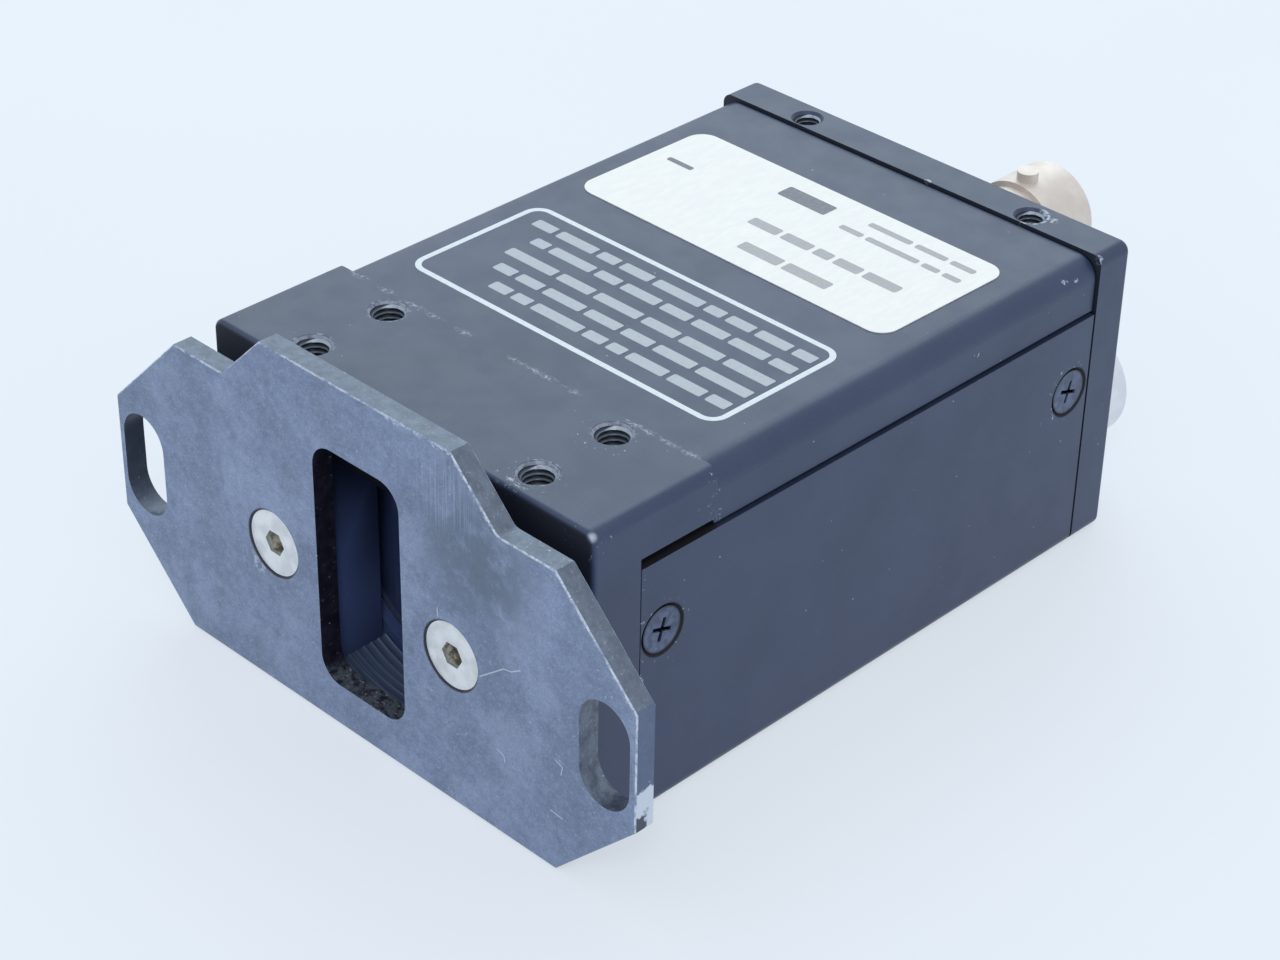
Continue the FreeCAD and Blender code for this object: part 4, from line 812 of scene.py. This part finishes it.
def add_piece(name, grids, material, attribute):
    """One mesh object from grids of points: each grid is (points, faces, values of the attribute)."""
    first, points, faces, values = 0, [], [], []
    for grid, cells, value in grids:
        flat = grid.reshape(-1, 3)
        points.append(flat)
        faces.append(cells + first)
        values.append(np.broadcast_to(value, grid.shape[:-1]).ravel())
        first += len(flat)
    mesh = bpy.data.meshes.new(name)
    mesh.from_pydata((np.concatenate(points) * MM).tolist(), [], np.concatenate(faces).tolist())
    mesh.attributes.new(attribute, "FLOAT", "POINT").data.foreach_set("value", np.concatenate(values))
    merged = bmesh.new()
    merged.from_mesh(mesh)
    bmesh.ops.remove_doubles(merged, verts=merged.verts, dist=MERGE_DISTANCE * MM)
    merged.to_mesh(mesh)
    merged.free()
    mesh.materials.append(material)
    piece = bpy.data.objects.new(name, mesh)
    bpy.context.scene.collection.objects.link(piece)
    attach(piece, "root")


def ridge(turns):
    """Thread profile over the number of turns: a narrow crest of 1, a flank, a root of 0 and a flank."""
    return np.interp(turns % 1.0, (0.0, 0.14, 0.5, 0.64, 1.0), (1.0, 1.0, 0.0, 0.0, 1.0))


def hole_thread(hole, depth, root, crest, pitch):
    """Inside thread of an upright hole, as a radius over height and angle: the ridge drops by one pitch in a
    turn, and the mouth's cone, one in and one down, cuts it off where the cone is wider."""
    down = np.linspace(0.0, depth, int(depth / pitch * PITCH_STEPS) + 1)[:, None]
    angle = np.linspace(0.0, 2 * np.pi, HOLE_STEPS + 1)[None, :]
    share = ridge(down / pitch - angle / (2 * np.pi))
    thread, cone = root + (crest - root) * share, root - down
    radius = np.maximum(thread, cone)
    x, y = hole[0] + radius * np.cos(angle), hole[1] + radius * np.sin(angle)
    grid = np.stack([x, y, THREAD_TOP - down + 0 * angle], -1)
    return grid, grid_faces(*grid.shape[:2]), np.where(cone > thread, MOUTH_CREST, share)


def lens_thread():
    """Lens thread at the bottom of its bore, where the plug's slot shows it, as a radius over depth and
    angle: the ridge moves on by one pitch in a turn."""
    turns = (LENS_THREAD_REAR - LENS_THREAD_FRONT) / LENS_PITCH
    depth = np.linspace(LENS_THREAD_FRONT, LENS_THREAD_REAR, int(turns * PITCH_STEPS) + 1)[:, None]
    angle = np.linspace(-LENS_HALF_ANGLE, LENS_HALF_ANGLE, LENS_STEPS + 1)[None, :]
    share = ridge((depth - LENS_THREAD_FRONT) / LENS_PITCH - angle / (2 * np.pi))
    radius = LENS_ROOT + (LENS_CREST - LENS_ROOT) * share
    grid = np.stack([radius * np.sin(angle), depth + 0 * angle, AXIS_HEIGHT - radius * np.cos(angle)], -1)
    return grid, grid_faces(*grid.shape[:2])[:, ::-1], share


def ink_bar(x, y, length, width, base, dense, turn=0.0, about=(0.0, 0.0)):
    """Printed bar with blunt ends: along its length its half width follows a straight run with a small
    quarter circle at each corner, and across it the ink rises steeply from the ground to a flat top."""
    half, end = length / 2, min(BAR_CORNER, width / 2)
    sweep = np.linspace(0.0, np.pi / 2, BAR_CORNER_POINTS)
    u = np.concatenate([-(half - end) - end * np.cos(sweep), (half - end) + end * np.sin(sweep)])
    w = width / 2 - end + end * np.concatenate([np.sin(sweep), np.cos(sweep)])
    u, w = u[:, None], w[:, None]
    dx, dy = x + u + 0 * BAR_ACROSS - about[0], y + w * BAR_ACROSS - about[1]
    px = about[0] + dx * math.cos(turn) - dy * math.sin(turn)
    py = about[1] + dx * math.sin(turn) + dy * math.cos(turn)
    grid = np.stack([px, py, base + INK_LIFT + INK_RISE + 0 * u], -1)
    return grid, grid_faces(*grid.shape[:2])[:, ::-1], dense


def ink_frame(x0, x1, y0, y1, radius, width, base):
    """Printed frame: a low flat-topped ink profile carried round a rectangle with round corners."""
    sweep = np.linspace(0.0, np.pi / 2, FRAME_CORNER_POINTS)
    corners = ((x1, y1, 0.0), (x0, y1, np.pi / 2), (x0, y0, np.pi), (x1, y0, 1.5 * np.pi))
    angle = np.concatenate([start + sweep for _, _, start in corners])[:, None]
    centres = [(x - math.copysign(radius, x - (x0 + x1) / 2), y - math.copysign(radius, y - (y0 + y1) / 2))
               for x, y, _ in corners]
    cx, cy = np.repeat(centres, len(sweep), axis=0).T[:, :, None]
    reach = radius + FRAME_ACROSS * width
    x, y = cx + np.cos(angle) * reach, cy + np.sin(angle) * reach
    grid = np.stack([x, y, base + INK_LIFT + INK_RISE + 0 * angle], -1)
    return grid, grid_faces(*grid.shape[:2], wrap_rows=True)[:, ::-1], INK_IN_FRAME


def bar_lengths(generator, room):
    """Starts and lengths of bars that fill a row."""
    start, bars = 0.0, []
    while start < room - LEAST_ROOM:
        length = min(generator.uniform(*BAR_LENGTHS), room - start)
        bars.append((start, length))
        start += length + BAR_GAP
    return bars


def cover_print():
    """White frame and rows of plain bars on the cover's top."""
    generator = np.random.default_rng(COVER_SEED)
    grids = [ink_frame(*COVER_FRAME, FRAME_CORNER, FRAME_LINE, COVER_TOP)]
    for y, end in COVER_ROWS:
        for start, length in bar_lengths(generator, COVER_ROWS_START - end):
            x = COVER_ROWS_START - start - length / 2
            grids.append(ink_bar(x, y, length, COVER_BAR_HEIGHT, COVER_TOP, INK_IN_ROWS))
    return grids


def label_print():
    """Rows of plain dark bars and two darker blocks on the label, turned as the label is."""
    generator = np.random.default_rng(LABEL_SEED)
    grids = []
    for y, right, left, height in LABEL_ROWS:
        for start, length in bar_lengths(generator, right - left):
            x = right - start - length / 2
            grids.append(ink_bar(x, y, length, height, LABEL_TOP, INK_IN_ROWS, LABEL_TURN, LABEL_MIDDLE))
    for block in LABEL_BLOCKS:
        grids.append(ink_bar(*block, LABEL_TOP, INK_IN_BLOCKS, LABEL_TURN, LABEL_MIDDLE))
    return grids


HOLE_THREADS = thread_finish("hole_thread", tone(30, 36, 50), tone(102, 114, 132), tone(166, 178, 192))
PORT_THREAD = thread_finish("port_thread", tone(76, 92, 122), tone(94, 112, 142), tone(98, 114, 140))
WHITE_PRINT = ink_finish("white_ink", INK_WHITE, HOUSING_DYE[1])
DARK_PRINT = ink_finish("dark_ink", INK_DARK, LABEL_WHITE)
accessory_threads = [hole_thread(hole, **ACCESSORY_THREAD) for hole in ACCESSORY_HOLES]
rear_threads = [hole_thread(hole, **REAR_THREAD) for hole in REAR_HOLES]
add_piece("accessory_hole_threads", accessory_threads, HOLE_THREADS, "crest")
add_piece("rear_hole_threads", rear_threads, HOLE_THREADS, "crest")
add_piece("lens_thread", [lens_thread()], PORT_THREAD, "crest")
add_piece("cover_print", cover_print(), WHITE_PRINT, "ink")
add_piece("label_print", label_print(), DARK_PRINT, "ink")

# Finish of each CAD node

NICKEL = plated_finish("nickel_plate", tone(226, 219, 212), tone(218, 210, 203), 0.58, 2.5)
PALE_NICKEL = plated_finish("pale_nickel_plate", tone(230, 232, 238), tone(222, 224, 231), 0.5, 2.5)
GOLD = plated_finish("gold_plate", tone(232, 194, 110), tone(204, 160, 78), 0.2, 1.5)
INNER_STEEL = plated_finish("zinc_screws", tone(206, 210, 214), tone(168, 174, 180), 0.26, 1.2)
BLACK_PLASTIC = moulded_finish("black_moulding", tone(46, 48, 54), tone(30, 31, 36), 0.42)
WHITE_PLASTIC = moulded_finish("white_moulding", tone(228, 228, 222), tone(206, 206, 198), 0.36)
GREEN_BOARD = board_finish()
AMBER_FLEX = flex_finish()
CLEAR_GLASS = glass_finish("clear_glass", tone(222, 238, 238))

FINISHES = {
    "adapter_plate": plate_finish(),
    "plate_screws": plate_screw_finish(),
    "mount_plug": anodised_finish("anodised_plug", None, plug_painted_shade, True, PLUG_DYE, PORT_GLOSS),
    "lens_mount_ring": anodised_finish("anodised_mount_ring", None, None, True, PLUG_DYE, PORT_GLOSS),
    "filter_gasket": moulded_finish("gasket_rubber", tone(66, 78, 110), tone(56, 66, 94), 0.6),
    "filter_glass": glass_finish("blue_filter_glass", tone(74, 90, 138), 0.4, 0.1, 0.12),
    "front_block": anodised_finish("anodised_block", block_wear, block_painted_shade),
    "sensor_package": moulded_finish("fired_ceramic", tone(122, 114, 106), tone(98, 92, 86), 0.5, 0.2),
    "sensor_die": die_finish(),
    "sensor_lid_glass": CLEAR_GLASS,
    "sensor_board": GREEN_BOARD,
    "sensor_board_screws": INNER_STEEL,
    "upper_cover": anodised_finish("anodised_upper_cover", cover_wear, rear_seam_painted_shade),
    "chassis_screws": INNER_STEEL,
    "lower_cover": anodised_finish("anodised_lower_cover", side_wear, side_painted_shade),
    "side_screws": side_screw_finish(),
    "rear_panel": anodised_finish("anodised_rear_panel", panel_wear, rear_seam_painted_shade),
    "coax_jack_body": NICKEL,
    "coax_jack_insulator": WHITE_PLASTIC,
    "coax_jack_contact": GOLD,
    "coax_jack_nut": NICKEL,
    "multipin_shell": PALE_NICKEL,
    "multipin_insert": BLACK_PLASTIC,
    "multipin_pins": GOLD,
    "multipin_nut": NICKEL,
    "connector_board": GREEN_BOARD,
    "video_board": GREEN_BOARD,
    "video_board_chips": BLACK_PLASTIC,
    "clock_crystal": INNER_STEEL,
    "power_board": GREEN_BOARD,
    "power_board_parts": BLACK_PLASTIC,
    "power_board_screws": INNER_STEEL,
    "board_standoffs": NICKEL,
    "board_plug": BLACK_PLASTIC,
    "board_socket": BLACK_PLASTIC,
    "flex_sockets": WHITE_PLASTIC,
    "sensor_flex": AMBER_FLEX,
    "rear_flex": AMBER_FLEX,
    "rating_label": film_finish(),
}
for name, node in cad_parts.items():
    node.data.materials.clear()
    node.data.materials.append(FINISHES[name])

# Stage: floor, light and camera, in metres

FLOOR_COLOUR = tone(232, 241, 250)
FLOOR_SHADE = tone(228, 238, 248)
FLOOR_GLOW = tone(239, 246, 253)
FLOOR_GLOW_SHARE = 0.6
FLOOR_RADIUS = 4.0
FLOOR_LEVEL = -0.02 * MM
FLOOR_RINGS = 24
FLOOR_SPOKES = 64
BACKDROP_COLOUR = tone(240, 245, 252)
SKY_STRENGTH = 0.78
# Place, size, watts and colour of each soft box
SOFTBOXES = {
    "rear_softbox": ((-0.62, 0.64, 0.75), 0.9, 3.4, (0.78, 0.965, 1.0)),
    "front_softbox": ((0.5, -0.55, 0.8), 0.2, 1.8, (1.0, 1.0, 1.0)),
}
CAMERA_PLACE = (0.151005, -0.160609, 0.152717)
CAMERA_RIGHT = (0.7108109311, 0.7032065599, 0.0157592608)
CAMERA_UP = (-0.3937261959, 0.3792181563, 0.8373608974)
CAMERA_BACK = (0.5828614782, -0.6014101130, 0.5464232546)
CAMERA_CLIP = (0.01, 20.0)
# Focal length and sensor width, both in millimetres
CAMERA_LENS = 85.258
SENSOR_WIDTH = 36.0


def seen_rays(tree):
    """1 for what the camera, metal and glass see, and 0 for the light that falls on the object."""
    path = tree.nodes.new("ShaderNodeLightPath")
    seen = path.outputs["Is Camera Ray"]
    for ray in ("Is Glossy Ray", "Is Transmission Ray"):
        either = tree.nodes.new("ShaderNodeMath")
        either.operation = "MAXIMUM"
        tree.links.new(seen, either.inputs[0])
        tree.links.new(path.outputs[ray], either.inputs[1])
        seen = either.outputs[0]
    return seen


def add_floor():
    """Flat round floor: points on circles about the origin, wider apart further out. It keeps the object's
    shadow, and what the camera, metal and glass see of it is paler."""
    radius = FLOOR_RADIUS * np.linspace(0.0, 1.0, FLOOR_RINGS)[:, None] ** 2
    angle = np.linspace(0.0, 2 * np.pi, FLOOR_SPOKES + 1)[None, :-1]
    level = np.full((FLOOR_RINGS, FLOOR_SPOKES), FLOOR_LEVEL)
    points = np.stack([radius * np.cos(angle), radius * np.sin(angle), level], -1).reshape(-1, 3)
    faces = grid_faces(FLOOR_RINGS, FLOOR_SPOKES, wrap_columns=True)[:, ::-1]
    mesh = bpy.data.meshes.new("floor")
    mesh.from_pydata(points.tolist(), [], faces.tolist())
    f = Finish("pale_floor", Roughness=0.7, Specular_IOR_Level=0.2)
    colour = f.mix(f.ramp(f.noise(60.0, 3.0), 0.3, 0.7), FLOOR_SHADE, FLOOR_COLOUR)
    glow = f.make("Emission", {"Color": FLOOR_GLOW})
    share = f.times(seen_rays(f.material.node_tree), FLOOR_GLOW_SHARE)
    both = f.make("MixShader", {0: share, 1: f.shader.outputs[0], 2: glow.outputs[0]})
    f.put(f.nodes["Material Output"].inputs["Surface"], both.outputs[0])
    mesh.materials.append(f.done(colour))
    floor = bpy.data.objects.new("floor", mesh)
    bpy.context.scene.collection.objects.link(floor)


def axes_matrix(right, up, back, place):
    """Placement whose local axes are right, up and back."""
    rows = np.stack([right, up, back, place], 1)
    return Matrix([*rows.tolist(), [0.0, 0.0, 0.0, 1.0]])


def add_light():
    """Even sky for the object, the pale backdrop for what the camera, metal and glass see of it, a large
    soft box above and behind on the left and a small one in front on the right."""
    world = bpy.data.worlds.new("studio")
    bpy.context.scene.world = world
    world.use_nodes = True
    nodes, links = world.node_tree.nodes, world.node_tree.links
    sky = nodes["Background"]
    sky.inputs["Color"].default_value = BACKDROP_COLOUR
    sky.inputs["Strength"].default_value = SKY_STRENGTH
    backdrop = nodes.new("ShaderNodeBackground")
    backdrop.inputs["Color"].default_value = BACKDROP_COLOUR
    choice = nodes.new("ShaderNodeMixShader")
    links.new(seen_rays(world.node_tree), choice.inputs[0])
    links.new(sky.outputs[0], choice.inputs[1])
    links.new(backdrop.outputs[0], choice.inputs[2])
    links.new(choice.outputs[0], nodes["World Output"].inputs["Surface"])
    for name, (place, size, watts, colour) in SOFTBOXES.items():
        box = bpy.data.lights.new(name, "AREA")
        box.size = size
        box.energy = watts
        box.color = colour
        lamp = bpy.data.objects.new(name, box)
        back = np.array(place) / np.linalg.norm(place)
        right = np.cross((0.0, 0.0, 1.0), back)
        right /= np.linalg.norm(right)
        lamp.matrix_world = axes_matrix(right, np.cross(back, right), back, place)
        bpy.context.scene.collection.objects.link(lamp)


def add_camera():
    """Camera at the photograph's viewpoint."""
    data = bpy.data.cameras.new("viewpoint")
    data.sensor_width = SENSOR_WIDTH
    data.lens = CAMERA_LENS
    data.clip_start, data.clip_end = CAMERA_CLIP
    camera = bpy.data.objects.new("viewpoint", data)
    camera.matrix_world = axes_matrix(CAMERA_RIGHT, CAMERA_UP, CAMERA_BACK, CAMERA_PLACE)
    bpy.context.scene.collection.objects.link(camera)
    bpy.context.scene.camera = camera


add_floor()
add_light()
add_camera()
bpy.context.scene.view_settings.view_transform = "Standard"
